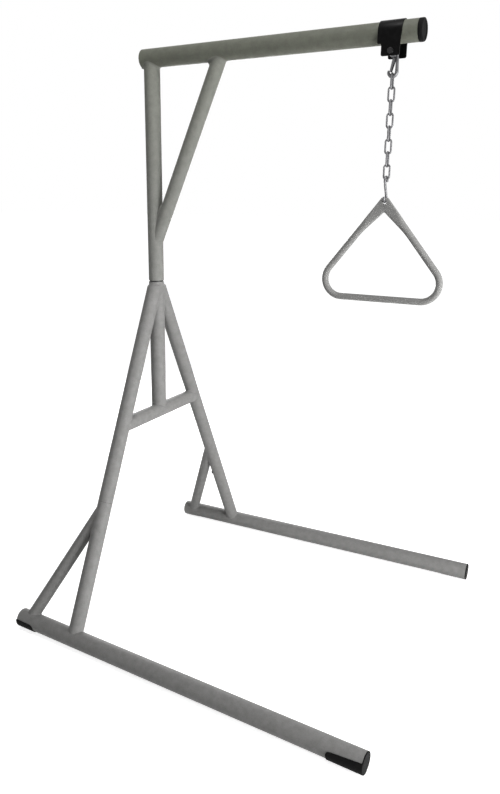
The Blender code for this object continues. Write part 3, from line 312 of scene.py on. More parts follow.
def at(x, y, z):
    """A point given from the mast's axis and the floor."""
    return Vector((MAST_X + x, y, z))


def joint_place(name):
    return next(Vector(joint["pos_m"]) for joint in frame["joints"] if joint["name"] == name)


def new_mesh_object(name, mesh):
    made = bpy.data.objects.new(name, mesh)
    bpy.context.scene.collection.objects.link(made)
    return made


def settle(bm, name):
    """Turn a bmesh into a smooth-shaded object with its faces outwards and its creases kept."""
    bmesh.ops.recalc_face_normals(bm, faces=bm.faces)
    mesh = bpy.data.meshes.new(name)
    bm.to_mesh(mesh)
    bm.free()
    shade(mesh, SHARP_DEG)
    return new_mesh_object(name, mesh)


def shade(mesh, sharp_deg):
    mesh.shade_smooth()
    mesh.set_sharp_from_angle(angle=math.radians(sharp_deg))


def baked(made, sharp_deg=SHARP_DEG):
    """Apply the object's modifiers."""
    bpy.context.view_layer.update()
    depsgraph = bpy.context.evaluated_depsgraph_get()
    mesh = bpy.data.meshes.new_from_object(made.evaluated_get(depsgraph))
    name = made.name
    bpy.data.objects.remove(made, do_unlink=True)
    mesh.name = name
    shade(mesh, sharp_deg)
    return new_mesh_object(name, mesh)


def carved(made, tools, operation="DIFFERENCE", sharp_deg=SHARP_DEG):
    """Cut tools out of a piece, or intersect it with them, and use them up."""
    for tool in tools:
        change = made.modifiers.new(operation.lower(), "BOOLEAN")
        change.operation = operation
        change.solver = "EXACT"
        change.object = tool
    made = baked(made, sharp_deg)
    for tool in tools:
        bpy.data.objects.remove(tool, do_unlink=True)
    return made


def softened(made, width, segments, sharp_deg):
    """Round a piece's creases off."""
    edge = made.modifiers.new("edge", "BEVEL")
    edge.width = width
    edge.segments = segments
    edge.limit_method = "ANGLE"
    edge.angle_limit = math.radians(sharp_deg)
    return baked(made, sharp_deg)


def melted(made, voxel, passes):
    """Merge overlapping shells into one soft skin."""
    skin = made.modifiers.new("skin", "REMESH")
    skin.mode = "VOXEL"
    skin.voxel_size = voxel
    calm = made.modifiers.new("calm", "SMOOTH")
    calm.factor = 0.5
    calm.iterations = passes
    return baked(made, SOFT_DEG)


def joined(name, *pieces):
    bm = bmesh.new()
    for piece in pieces:
        bm.from_mesh(piece.data)
        bpy.data.objects.remove(piece, do_unlink=True)
    return settle(bm, name)


def dress(piece, body, finish, *nodes):
    """Give a piece its finish, its body and the frame nodes that it stands for."""
    piece.data.materials.clear()
    piece.data.materials.append(finish)
    if nodes:
        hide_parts(*nodes)
    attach(piece, body)


def refinish(node, finish):
    """Keep a frame node's shape and give it a better finish."""
    for slot in frame["nodes"][node].material_slots:
        slot.material = finish


def arc(centre, radius, first_deg, last_deg, steps):
    points = []
    for step in range(steps + 1):
        angle = math.radians(first_deg + (last_deg - first_deg) * step / steps)
        points.append((centre[0] + radius * math.cos(angle), centre[1] + radius * math.sin(angle)))
    return points


def rounded(corners, radii, steps=8):
    """An outline with its corners rounded."""
    outline = []
    count = len(corners)
    for index, corner in enumerate(corners):
        here = Vector(corner)
        before = (Vector(corners[index - 1]) - here).normalized()
        after = (Vector(corners[(index + 1) % count]) - here).normalized()
        radius = radii[index]
        if radius == 0:
            outline.append(tuple(here))
            continue
        half = before.angle(after) / 2
        centre = here + (before + after).normalized() * (radius / math.sin(half))
        first = here + before * (radius / math.tan(half)) - centre
        last = here + after * (radius / math.tan(half)) - centre
        turn = first.angle_signed(last)
        for step in range(steps + 1):
            spun = Matrix.Rotation(-turn * step / steps, 2) @ first
            outline.append(tuple(centre + spun))
    return outline


def drawn_out(bm, outline, way):
    """A flat outline drawn out to a solid."""
    face = bm.faces.new([bm.verts.new(point) for point in outline])
    grown_up = bmesh.ops.extrude_face_region(bm, geom=[face])
    moving = [item for item in grown_up["geom"] if isinstance(item, bmesh.types.BMVert)]
    bmesh.ops.translate(bm, verts=moving, vec=way)


def slab(name, outline, half):
    """A flat piece cut to an outline in the X-Z plane, centred on y = 0."""
    bm = bmesh.new()
    drawn_out(bm, [(across, -half, up) for across, up in outline], (0, 2 * half, 0))
    return settle(bm, name)


def moved(piece, place):
    piece.data.transform(Matrix.Translation(place))
    return piece


def aim(way):
    """A turn whose Z axis points along a way."""
    return Vector(way).to_track_quat("Z", "Y").to_matrix()


def carry(bm, place, turn):
    """Turn a new shape and carry it to its place."""
    bmesh.ops.transform(bm, verts=bm.verts, matrix=Matrix.Translation(place) @ turn.to_4x4())


def unit(angle):
    return Vector((math.cos(angle), math.sin(angle)))


def turned(name, profile, place, turn, sides, looped=False):
    """A solid of revolution about its own Z axis from (radius, height) points, top to bottom."""
    bm = bmesh.new()
    verts = [bm.verts.new((radius, 0, height)) for radius, height in profile]
    edges = [bm.edges.new(pair) for pair in zip(verts, verts[1:])]
    if looped:
        edges.append(bm.edges.new((verts[-1], verts[0])))
    bmesh.ops.spin(bm, geom=verts + edges, cent=(0, 0, 0), axis=(0, 0, 1), angle=math.tau, steps=sides,
                   use_merge=True)
    bmesh.ops.remove_doubles(bm, verts=bm.verts, dist=MERGE)
    carry(bm, place, turn)
    return settle(bm, name)


def rod(name, start, end, radius, sides=48):
    way = Vector(end) - Vector(start)
    profile = ((0, way.length), (radius, way.length), (radius, 0), (0, 0))
    return turned(name, profile, start, aim(way), sides)


def spokes(way, count):
    side = way.orthogonal().normalized()
    other = way.cross(side)
    turns = [math.tau * step / count for step in range(count)]
    return [side * math.cos(turn) + other * math.sin(turn) for turn in turns]


def skin(bm, first, second):
    """Faces between two equal rows of vertices."""
    for index in range(len(first) - 1):
        bm.faces.new((first[index], first[index + 1], second[index + 1], second[index]))


def sweep(bm, sections, looped):
    """Skin a row of equal closed sections; an open row gets end faces."""
    rows = [[bm.verts.new(point) for point in section] for section in sections]
    pairs = list(zip(rows, rows[1:]))
    if looped:
        pairs.append((rows[-1], rows[0]))
    for first, second in pairs:
        skin(bm, first + first[:1], second + second[:1])
    if not looped:
        bm.faces.new(rows[0])
        bm.faces.new(rows[-1])


class Round:
    """A round tube between two points on its axis."""

    def __init__(self, start, end, outer, wall):
        self.start = Vector(start)
        self.end = Vector(end)
        self.way = (self.end - self.start).normalized()
        self.length = (self.end - self.start).length
        self.radius = outer / 2
        self.wall = wall

    def crossings(self, point, way, grow):
        """How far along a line it enters and leaves the tube with a margin round it, or None twice."""
        radius = self.radius + grow
        gap = point - self.start
        gap = gap - self.way * gap.dot(self.way)
        slope = way - self.way * way.dot(self.way)
        square = slope.length_squared
        half = gap.dot(slope)
        rest = half * half - square * (gap.length_squared - radius * radius)
        if rest < 0:
            return None, None
        root = math.sqrt(rest)
        return (-half - root) / square, (-half + root) / square

    def enter(self, point, way, grow):
        return self.crossings(point, way, grow)[0]

    def leave(self, point, way, grow):
        return self.crossings(point, way, grow)[1]

    def flipped(self):
        return Round(self.end, self.start, 2 * self.radius, self.wall)


def tube_sections(tube, foot_on, head_on, ceiling):
    """The wall's section at each flat, cut to the tubes that the ends sit on."""
    sections = []
    for spoke in spokes(tube.way, ROUND):
        ends = []
        for radius in (tube.radius, tube.radius - tube.wall):
            base = tube.start + spoke * radius
            low = 0.0
            high = tube.length
            if foot_on:
                low = max(low, foot_on.leave(base, tube.way, SEAT) or 0.0)
            if head_on:
                reach = head_on.enter(base, tube.way, SEAT)
                high = high if reach is None else min(high, reach)
            if ceiling:
                high = min(high, (ceiling - base.z) / tube.way.z)
            ends.append((base, low, high))
        (outer, low, high), (inner, inner_low, inner_high) = ends
        section = []
        if not foot_on:
            section.append(outer - spoke * LIP + tube.way * low)
        section.append(outer + tube.way * (low if foot_on else low + LIP))
        if head_on:
            section.append(outer + tube.way * high)
        else:
            section.append(outer + tube.way * (high - LIP))
            section.append(outer - spoke * LIP + tube.way * high)
        section.append(inner + tube.way * inner_high)
        section.append(inner + tube.way * inner_low)
        sections.append(section)
    return sections


def make_tube(name, tube, foot_on=None, head_on=None, ceiling=None):
    bm = bmesh.new()
    sweep(bm, tube_sections(tube, foot_on, head_on, ceiling), looped=True)
    return settle(bm, name)


def weld_sections(branch, main, ball, ceiling):
    """Sections of the fillet that a ball leaves as it rolls along a joint; None where it has no room."""
    sections = []
    for spoke in spokes(branch.way, WELD_STEPS):
        base = branch.start + spoke * (branch.radius + ball)
        reach = main.enter(base, branch.way, ball)
        root_base = branch.start + spoke * (branch.radius - WELD_SINK)
        root_reach = main.enter(root_base, branch.way, -WELD_SINK)
        if reach is None or root_reach is None:
            sections.append(None)
            continue
        middle = base + branch.way * reach
        foot = main.start + main.way * (middle - main.start).dot(main.way)
        to_main = (foot - middle).normalized()
        spread = to_main.angle(-spoke)
        if spread < WELD_LEAST:
            sections.append(None)
            continue
        section = []
        for step in range(WELD_ARC_STEPS + 1):
            share = step / WELD_ARC_STEPS
            way = to_main * math.sin(share * spread) - spoke * math.sin((1 - share) * spread)
            section.append(middle + way * (ball / math.sin(spread)))
        section.append(root_base + branch.way * root_reach)
        too_high = ceiling is not None and max(point.z for point in section) > ceiling
        sections.append(None if too_high else section)
    return sections


def make_weld(name, branch, main, ball, ceiling=None):
    sections = weld_sections(branch, main, ball, ceiling)
    bm = bmesh.new()
    if all(sections):
        sweep(bm, sections, looped=True)
        return settle(bm, name)
    first = next(index for index, section in enumerate(sections) if section is None)
    run = []
    for section in sections[first:] + sections[:first + 1]:
        if section is None:
            if len(run) > 1:
                sweep(bm, run, looped=False)
            run = []
        else:
            run.append(section)
    return settle(bm, name)


# Nodes and finishes

def feed(tree, socket, value):
    """Give a socket a value, or another node's output."""
    if isinstance(value, bpy.types.NodeSocket):
        tree.links.new(value, socket)
    else:
        socket.default_value = value


def put(tree, kind, *in_order, **named):
    """Add a node: settings in small letters, then what feeds its sockets in order and by name."""
    made = tree.nodes.new(kind)
    for key, value in named.items():
        if key[0].islower():
            setattr(made, key, value)
    for socket, value in zip(made.inputs, in_order):
        feed(tree, socket, value)
    for key, value in named.items():
        if key[0].isupper():
            feed(tree, made.inputs[key.replace("_", " ")], value)
    return made.outputs


def maths(tree, operation, *values):
    return put(tree, "ShaderNodeMath", *values, operation=operation)[0]


class Finish:
    """A node material built around its principled shader, on object coordinates."""

    def __init__(self, name, metallic, specular):
        self.material = bpy.data.materials.new("made_" + name)
        self.material["slot"] = name
        self.material.use_nodes = True
        self.tree = self.material.node_tree
        self.shader = self.tree.nodes["Principled BSDF"].inputs
        self.shader["Metallic"].default_value = metallic
        self.shader["Specular IOR Level"].default_value = specular
        self.spot = put(self.tree, "ShaderNodeTexCoord")["Object"]

    def noise(self, scale, detail, roughness):
        return put(self.tree, "ShaderNodeTexNoise", Vector=self.spot, Scale=scale, Detail=detail,
                   Roughness=roughness)[0]

    def cells(self, scale):
        return put(self.tree, "ShaderNodeTexVoronoi", Vector=self.spot, Scale=scale)["Distance"]

    def height(self, low, high):
        """0 below one level, 1 above another and even between them."""
        return self.spread(put(self.tree, "ShaderNodeSeparateXYZ", self.spot)["Z"], low, high, 0, 1)

    def spread(self, source, low, high, to_low, to_high):
        """A value moved from one range to another."""
        return put(self.tree, "ShaderNodeMapRange", source, low, high, to_low, to_high)["Result"]

    def blend(self, share, first, second, way="MIX"):
        """Two colours mixed by a value; either may be a colour or another node's output."""
        made = self.tree.nodes.new("ShaderNodeMix")
        made.data_type = "RGBA"
        made.blend_type = way
        feed(self.tree, made.inputs[0], share)
        for socket, value in ((made.inputs[6], first), (made.inputs[7], second)):
            feed(self.tree, socket, (*value, 1.0) if isinstance(value, tuple) else value)
        return made.outputs[2]

    def colour(self, source):
        feed(self.tree, self.shader["Base Color"], source)

    def gloss(self, source):
        feed(self.tree, self.shader["Roughness"], source)

    def relief(self, source, depth, **under):
        bump = put(self.tree, "ShaderNodeBump", Height=source, Strength=1.0, Distance=depth, **under)
        feed(self.tree, self.shader["Normal"], bump["Normal"])
        return bump["Normal"]


def coat_finish(name, light, dark, fleck, upper=None):
    """Silver-vein powder coat: clouded greys, small dark flecks, a fine orange peel and, where a top tone is
    given, a top darkened in painted shade.
    """
    made = Finish(name, 0.0, 0.1)
    clouds = made.noise(55, 3, 0.55)
    base = made.blend(made.spread(clouds, 0.35, 0.65, 0, 1), dark, light)
    specks = made.noise(420, 3, 0.65)
    flecked = made.blend(made.spread(specks, 0.55, 0.72, 0, 0.55), base, fleck)
    veins = made.cells(300)
    veined = made.blend(made.spread(veins, 0.0, 0.18, 0.35, 0), flecked, light)
    # Painted shade: the colour is darkened by the top tone from z 0.95 up to z 1.75.
    if upper:
        veined = made.blend(made.height(0.95, 1.75), veined, upper, "MULTIPLY")
    made.colour(veined)
    made.gloss(made.spread(specks, 0.3, 0.7, 0.42, 0.6))
    peel = made.relief(made.noise(900, 2, 0.5), 0.00009)
    made.relief(veins, 0.00003, Normal=peel)
    return made.material


def zinc_finish(light, dull, spangle):
    """Zinc plating with a spangle, duller patches and fine scratches."""
    made = Finish("zinc_plate", 0.6, 0.25)
    made.shader["Specular Tint"].default_value = (0.35, 0.35, 0.36, 1)
    crystals = made.cells(650)
    patches = made.noise(130, 4, 0.6)
    base = made.blend(made.spread(patches, 0.35, 0.7, 0, 1), light, dull)
    made.colour(made.blend(made.spread(crystals, 0.0, 0.6, 0, 0.3), base, spangle))
    made.gloss(made.spread(patches, 0.3, 0.7, 0.28, 0.48))
    made.relief(made.noise(1500, 2, 0.6), 0.00004)
    return made.material


def black_finish(name, specular, haze, share, tones, gloss, grain, depth):
    """A black surface with duller patches and a grain of noise, or of cells where only its scale is given."""
    made = Finish(name, 0.0, specular)
    patches = made.noise(*haze)
    made.colour(made.blend(made.spread(patches, *share, 0, 1), *tones))
    made.gloss(made.spread(patches, 0.3, 0.7, *gloss))
    made.relief(made.noise(*grain) if len(grain) > 1 else made.cells(*grain), depth)
    return made.material


def black_finishes():
    """Powder coat with an orange peel, matt rubber with a little dust and moulded plastic."""
    coat = black_finish("black_coat", 0.05, (90, 4, 0.6), (0.4, 0.75), BLACK_COAT_TONES, (0.30, 0.48),
                        (800, 2, 0.5), 0.00012)
    rubber = black_finish("black_rubber", 0.06, (70, 5, 0.65), (0.42, 0.75), RUBBER_TONES, (0.62, 0.82),
                          (2200, 3, 0.6), 0.00008)
    plastic = black_finish("black_plastic", 0.2, (60, 3, 0.5), (0.35, 0.7), PLASTIC_TONES, (0.42, 0.58),
                           (1800,), 0.00005)
    return coat, rubber, plastic


# Node trees for what repeats or follows a path

def tree_input(tree, name, kind, value=None):
    made = tree.interface.new_socket(name=name, in_out="INPUT", socket_type=kind)
    if value is not None:
        made.default_value = value


def new_tree(name, *inputs):
    tree = bpy.data.node_groups.new(name, "GeometryNodeTree")
    tree_input(tree, "Geometry", "NodeSocketGeometry")
    for entry in inputs:
        tree_input(tree, *entry)
    tree_input(tree, "Finish", "NodeSocketMaterial")
    tree.interface.new_socket(name="Geometry", in_out="OUTPUT", socket_type="NodeSocketGeometry")
    return tree, tree.nodes.new("NodeGroupInput").outputs


def close_tree(tree, geometry, given):
    smooth = put(tree, "GeometryNodeSetShadeSmooth", geometry)[0]
    real = put(tree, "GeometryNodeRealizeInstances", smooth)[0]
    finish = put(tree, "GeometryNodeSetMaterial", real, Material=given["Finish"])[0]
    put(tree, "NodeGroupOutput", finish)
    return tree


def wire_profile(tree, given):
    half = maths(tree, "MULTIPLY", given["Wire"], 0.5)
    return put(tree, "GeometryNodeCurvePrimitiveCircle", Radius=half, Resolution=given["Sides"])[0]


def wire_tree():
    """A round wire along a line of points, as thick at each as its thick value says."""
    tree, given = new_tree("wire_on_path", ("Wire", "NodeSocketFloat", 0.005), ("Sides", "NodeSocketInt", 24))
    path = put(tree, "GeometryNodeMeshToCurve", given["Geometry"])[0]
    thick = put(tree, "GeometryNodeInputNamedAttribute", data_type="FLOAT", Name="thick")[0]
    profile = wire_profile(tree, given)
    wire = put(tree, "GeometryNodeCurveToMesh", path, profile, Scale=thick, Fill_Caps=True)[0]
    return close_tree(tree, wire, given)


def link_tree():
    """A chain link: a rounded rectangle of wire with a low weld bead on one side."""
    tree, given = new_tree("chain_link", ("Length", "NodeSocketFloat", 0.0383),
                           ("Width", "NodeSocketFloat", 0.016), ("Wire", "NodeSocketFloat", 0.005),
                           ("Sides", "NodeSocketInt", 24), ("Bead", "NodeSocketFloat", 0.10),
                           ("Place", "NodeSocketVector"), ("Turn", "NodeSocketRotation"))
    box = put(tree, "GeometryNodeCurvePrimitiveQuadrilateral", Width=given["Width"], Height=given["Length"])
    bend = maths(tree, "MULTIPLY", given["Width"], 0.4995)
    oval = put(tree, "GeometryNodeFilletCurve", mode="POLY", Curve=box[0], Radius=bend, Count=16)[0]
    even = put(tree, "GeometryNodeResampleCurve", Curve=oval, Count=112)[0]
    spot = put(tree, "GeometryNodeInputPosition")[0]
    parts = put(tree, "ShaderNodeSeparateXYZ", spot)
    side = maths(tree, "GREATER_THAN", parts["X"], 0.0)
    height = maths(tree, "ABSOLUTE", parts["Y"])
    swell = put(tree, "ShaderNodeMapRange", height, 0.0, BEAD_HALF, given["Bead"], 0.0,
                interpolation_type="SMOOTHERSTEP")["Result"]
    scale = maths(tree, "ADD", maths(tree, "MULTIPLY", swell, side), 1.0)
    profile = wire_profile(tree, given)
    wire = put(tree, "GeometryNodeCurveToMesh", Curve=even, Profile_Curve=profile, Scale=scale)[0]
    placed = put(tree, "GeometryNodeTransform", wire, Translation=given["Place"], Rotation=given["Turn"])[0]
    return close_tree(tree, placed, given)


def thread_tree():
    """A screw thread: a ridge wound round the Z axis from z = 0 up."""
    tree, given = new_tree("screw_thread", ("Radius", "NodeSocketFloat", 0.004),
                           ("Pitch", "NodeSocketFloat", 0.00125), ("Turns", "NodeSocketFloat", 3.0))
    half = maths(tree, "MULTIPLY", given["Pitch"], 0.5)
    middle = maths(tree, "SUBTRACT", given["Radius"], half)
    rise = maths(tree, "MULTIPLY", given["Pitch"], given["Turns"])
    coil = put(tree, "GeometryNodeCurveSpiral", Rotations=given["Turns"], Start_Radius=middle,
               End_Radius=middle, Height=rise, Resolution=48)[0]
    profile = put(tree, "GeometryNodeCurvePrimitiveCircle", Radius=half, Resolution=4)[0]
    ridge = put(tree, "GeometryNodeCurveToMesh", Curve=coil, Profile_Curve=profile, Fill_Caps=True)[0]
    return close_tree(tree, ridge, given)


def grown(name, tree, values, path=None):
    """Run a node tree once and keep its result as a plain mesh."""
    made = new_mesh_object(name, path or bpy.data.meshes.new(name))
    change = made.modifiers.new("shape", "NODES")
    change.node_group = tree
    for item in tree.interface.items_tree:
        if item.item_type == "SOCKET" and item.in_out == "INPUT" and item.name in values:
            change[item.identifier] = values[item.name]
    return baked(made)


def wire_path(name, points, factors, tip):
    """A path for the wire tree, with a thickness at each point and its tips rounded off."""
    points = [Vector(point) for point in points]
    for _ in range(2):
        here = points[0]
        inwards = (points[1] - here).normalized()
        points[0] = here + inwards * tip
        points[:0] = [here + inwards * (tip * share) for share in TIP_SHARES]
        factors[:0] = [factors[0] * (math.sqrt(1 - (1 - share) ** 2) or TIP_LEAST) for share in TIP_SHARES]
        points.reverse()
        factors.reverse()
    mesh = bpy.data.meshes.new(name)
    mesh.from_pydata(points, [(index, index + 1) for index in range(len(points) - 1)], [])
    thick = mesh.attributes.new("thick", "FLOAT", "POINT")
    thick.data.foreach_set("value", factors)
    return mesh


# Tubes of the stand

def leg_foot(side):
    return at(LEG_LEAN, side * HALF_SPACING, RAIL_Z)


def leg_point(side, height):
    apex = at(0, 0, APEX_Z)
    return apex + (leg_foot(side) - apex) * ((APEX_Z - height) / (APEX_Z - RAIL_Z))


def rail_way(side):
    return Vector((math.cos(TOE_OUT), side * math.sin(TOE_OUT), 0))


def rail_point(side, distance):
    return leg_foot(side) + rail_way(side) * distance


def stand_tubes():
    """Every tube of the stand as an axis with its sizes."""
    tubes = {
        "boom": Round(at(-BOOM_TAIL, 0, BOOM_Z), at(BOOM_REACH, 0, BOOM_Z), BOOM_OD, BOOM_WALL),
        "mast": Round(at(0, 0, MAST_FOOT), at(0, 0, BOOM_Z), MAST_OD, MAST_WALL),
        "mast_brace": Round(at(0, 0, MAST_BRACE_Z), at(MAST_BRACE_X, 0, BOOM_Z), MAST_BRACE_OD,
                            MAST_BRACE_WALL),
        "post": Round(at(0, 0, CROSS_Z), at(0, 0, POST_TOP), MAST_OD, MAST_WALL),
        "cross_bar": Round(leg_point(-1, CROSS_Z), leg_point(1, CROSS_Z), CROSS_OD, LEG_WALL),
    }
    for side, word in SIDES:
        apex = at(0, 0, APEX_Z)
        foot = leg_foot(side)
        down = (foot - apex).normalized()
        seam = leg_point(side, SEAM_Z)
        tubes["upper_" + word] = Round(seam, apex, LEG_OD, LEG_WALL)
        tubes["lower_" + word] = Round(seam + down * SEAM_GAP, foot, LEG_OD, LEG_WALL)
        tubes["leg_" + word] = Round(foot, apex, LEG_OD, LEG_WALL)
        tubes["rail_" + word] = Round(rail_point(side, -RAIL_BACK), rail_point(side, RAIL_FRONT), RAIL_OD,
                                      RAIL_WALL)
        tubes["brace_" + word] = Round(rail_point(side, -BRACE_REACH), leg_point(side, BRACE_LEG_Z), BRACE_OD,
                                       BRACE_WALL)
    return tubes


def button_place(side):
    """A leg button's place on the leg's axis, its way out and the way down the leg."""
    down = (leg_foot(side) - at(0, 0, APEX_Z)).normalized()
    rearward = Vector((-1, -side, 0))
    outward = (rearward - down * rearward.dot(down)).normalized()
    return leg_point(side, SEAM_Z) + down * LEG_BUTTON_DROP, outward, down


def button_hole(place, outward):
    start, end = (place + outward * distance for distance in BUTTON_HOLE)
    return rod("hole", start, end, BUTTON_D / 2 + SEAT)


def build_tubes(tubes, coat, mast_painted_light_and_shade_coat, boom_painted_shade_coat):
    """The coated tubes, each cut to the tubes that it is welded to."""
    boom = tubes["boom"]
    mast = tubes["mast"]
    bar = tubes["cross_bar"]
    post = tubes["post"]
    mast_button = at(0, 0, POST_TOP - MAST_BUTTON_DROP)
    made = [
        (make_tube("boom", boom), "boom_tube"),
        (make_tube("mast", mast, head_on=boom), "mast_tube"),
        (make_tube("boom_brace", tubes["mast_brace"], foot_on=mast, head_on=boom), "mast_brace"),
        (carved(make_tube("post", post, foot_on=bar), [button_hole(mast_button, -FORWARD)]), "base_post"),
    ]
    bar_tube = make_tube("crossbar", bar, foot_on=tubes["leg_right"], head_on=tubes["leg_left"])
    made.append((bar_tube, "cross_bar"))
    for side, word in SIDES:
        leg = tubes["leg_" + word]
        rail = tubes["rail_" + word]
        place, outward, _ = button_place(side)
        upper = make_tube("leg_upper_" + word, tubes["upper_" + word], head_on=post, ceiling=LEG_TOP)
        lower = make_tube("leg_lower_" + word, tubes["lower_" + word], head_on=rail)
        made.append((upper, "upper_leg_" + word))
        made.append((carved(lower, [button_hole(place, outward)]), "lower_leg_" + word))
        made.append((make_tube("side_brace_" + word, tubes["brace_" + word], foot_on=rail, head_on=leg),
                     "base_brace_" + word))
        made.append((make_tube("floor_rail_" + word, rail), "rail_" + word))
    for piece, node in made:
        # The boom's darker copy of the coat is painted shade.
        finish = {"boom_tube": boom_painted_shade_coat, "mast_tube": mast_painted_light_and_shade_coat, "mast_brace": mast_painted_light_and_shade_coat}.get(node, coat)
        dress(piece, "stand", finish, node)


def build_inserts(zinc):
    """The inner tubes that slide into mast, post and legs, in a near-black zinc that is painted shade in the
    gap under the mast.
    """
    fit = 2 * LEG_WALL + 2 * SEAT
    foot = at(0, 0, MAST_FOOT)
    base = foot - UP * (MAST_INSERT_DOWN + MAST_GAP)
    inner = Round(base, foot + UP * MAST_INSERT_UP, MAST_OD - fit, INSERT_WALL)
    hole = button_hole(at(0, 0, POST_TOP - MAST_BUTTON_DROP), -FORWARD)
    dress(carved(make_tube("mast_inner", inner), [hole]), "stand", zinc, "mast_insert")
    for side, word in SIDES:
        place, outward, down = button_place(side)
        seam = leg_point(side, SEAM_Z)
        inner = Round(seam + down * LEG_INSERT_DOWN, seam - down * LEG_INSERT_UP, LEG_OD - fit, INSERT_WALL)
        piece = carved(make_tube("leg_inner_" + word, inner), [button_hole(place, outward)])
        dress(piece, "stand", zinc, "leg_insert_" + word)


def build_welds(tubes, coat, mast_painted_light_and_shade_coat):
    """The smooth, coated weld fillets where tube meets tube."""
    boom = tubes["boom"]
    mast = tubes["mast"]
    brace = tubes["mast_brace"]
    post = tubes["post"]
    bar = tubes["cross_bar"]
    # The welds at the top take the mast's coat: lighter in painted light, darker towards the boom in painted
    # shade.
    dress(make_weld("weld_mast", mast, boom, MAST_WELD), "stand", mast_painted_light_and_shade_coat)
    dress(make_weld("weld_boom_brace", brace, boom, BOOM_BRACE_WELD), "stand", mast_painted_light_and_shade_coat)
    dress(make_weld("weld_mast_brace", brace.flipped(), mast, MAST_BRACE_WELD), "stand", mast_painted_light_and_shade_coat)
    welds = [make_weld("weld_post", post.flipped(), bar, WELD)]
    for side, word in SIDES:
        leg = tubes["leg_" + word]
        upper = tubes["upper_" + word]
        rail = tubes["rail_" + word]
        low = tubes["brace_" + word]
        welds.append(make_weld("weld_leg_top_" + word, upper, post, WELD, ceiling=LEG_TOP))
        welds.append(make_crown("weld_crown_" + word, upper, side))
        welds.append(make_weld("weld_bar_" + word, bar if side > 0 else bar.flipped(), leg, WELD))
        welds.append(make_weld("weld_leg_foot_" + word, tubes["lower_" + word], rail, WELD))
        welds.append(make_weld("weld_brace_top_" + word, low, leg, BRACE_TOP_WELD))
        welds.append(make_weld("weld_brace_foot_" + word, low.flipped(), rail, WELD))
    for piece in welds:
        dress(piece, "stand", coat)


def make_crown(name, leg, side):
    """Weld laid on a leg's cut top, from its outer edge up against the post."""
    sections = []
    centre = at(0, 0, LEG_TOP)
    post_r = MAST_OD / 2
    for step in range(CROWN_STEPS + 1):
        angle = math.radians(-90 + 180 * step / CROWN_STEPS)
        out = Vector((math.sin(angle), side * math.cos(angle), 0))
        reach = leg.leave(centre, out, 0.0) or 0.0
        if reach < post_r + CROWN_LEAST:
            continue
        wall = centre + out * post_r
        edge = centre + out * (reach - CROWN_EDGE)
        rise = min(CROWN_RISE, CROWN_SLOPE * (reach - post_r))
        section = []
        for share in (0.0, 0.2, 0.4, 0.6, 0.8, 1.0):
            swell = math.sin(share * math.pi / 2)
            section.append(edge.lerp(wall, share) + UP * (rise * swell * share))
        section.append(centre + out * (post_r - WELD_SINK) - UP * CROWN_SINK)
        section.append(edge - out * CROWN_INSET - UP * CROWN_SINK)
        sections.append(section)
    bm = bmesh.new()
    sweep(bm, sections, looped=False)
    return settle(bm, name)


# Rubber and plastic ends, buttons

def plug_profile(radius, top):
    """The barbed shank of a tube plug, from its shoulder down to the axis."""
    profile = [(radius, top), (radius, top - PLUG_SHOULDER), (radius - RIB_HEIGHT, top - PLUG_SHOULDER)]
    pitch = (PLUG_DEPTH - PLUG_SHOULDER) / 2
    for rib in range(2):
        foot = top - PLUG_SHOULDER - (rib + 1) * pitch
        profile.append((radius, foot + pitch * 0.75))
        profile.append((radius - RIB_HEIGHT, foot))
    profile.append((0.0, top - PLUG_DEPTH))
    return profile


def build_boom_ends(rubber, plastic):
    bore = BOOM_OD / 2 - BOOM_WALL - SEAT
    face = BOOM_OD / 2 + SEAT
    floor = CAP_FLANGE - CAP_DISH
    profile = [(0.0, floor)]
    profile.extend(reversed(arc((CAP_DISH_R - CAP_FILLET, floor + CAP_FILLET), CAP_FILLET, 0, -90, 6)))
    profile.extend(arc((CAP_DISH_R + CAP_RIM, CAP_FLANGE - CAP_RIM), CAP_RIM, 180, 90, 5))
    profile.extend(arc((face - CAP_ROUND, CAP_FLANGE - CAP_ROUND), CAP_ROUND, 90, 0, 10))
    profile.extend(arc((face - BROKEN, SEAT + BROKEN), BROKEN, 0, -90, 2))
    profile.extend(plug_profile(bore, SEAT))
    nose = at(BOOM_REACH, 0, BOOM_Z)
    dress(turned("boom_cap", profile, nose, aim(FORWARD), ROUND), "stand", rubber, "boom_front_cap")
    rear = [(0.0, -PLUG_DISH), (bore - PLUG_RIM - PLUG_DISH, -PLUG_DISH), (bore - PLUG_RIM, 0.0),
            (bore - PLUG_CHAMFER, 0.0), (bore, -PLUG_CHAMFER)]
    rear.extend(plug_profile(bore, 0.0)[1:])
    tail = at(-BOOM_TAIL, 0, BOOM_Z)
    dress(turned("boom_plug", rear, tail, aim(-FORWARD), ROUND), "stand", plastic, "boom_rear_plug")


def upright_turn(outward):
    """A turn whose Z axis points out of a tube's end and whose Y axis points up."""
    across = UP.cross(outward).normalized()
    return Matrix((across, UP, outward)).transposed()


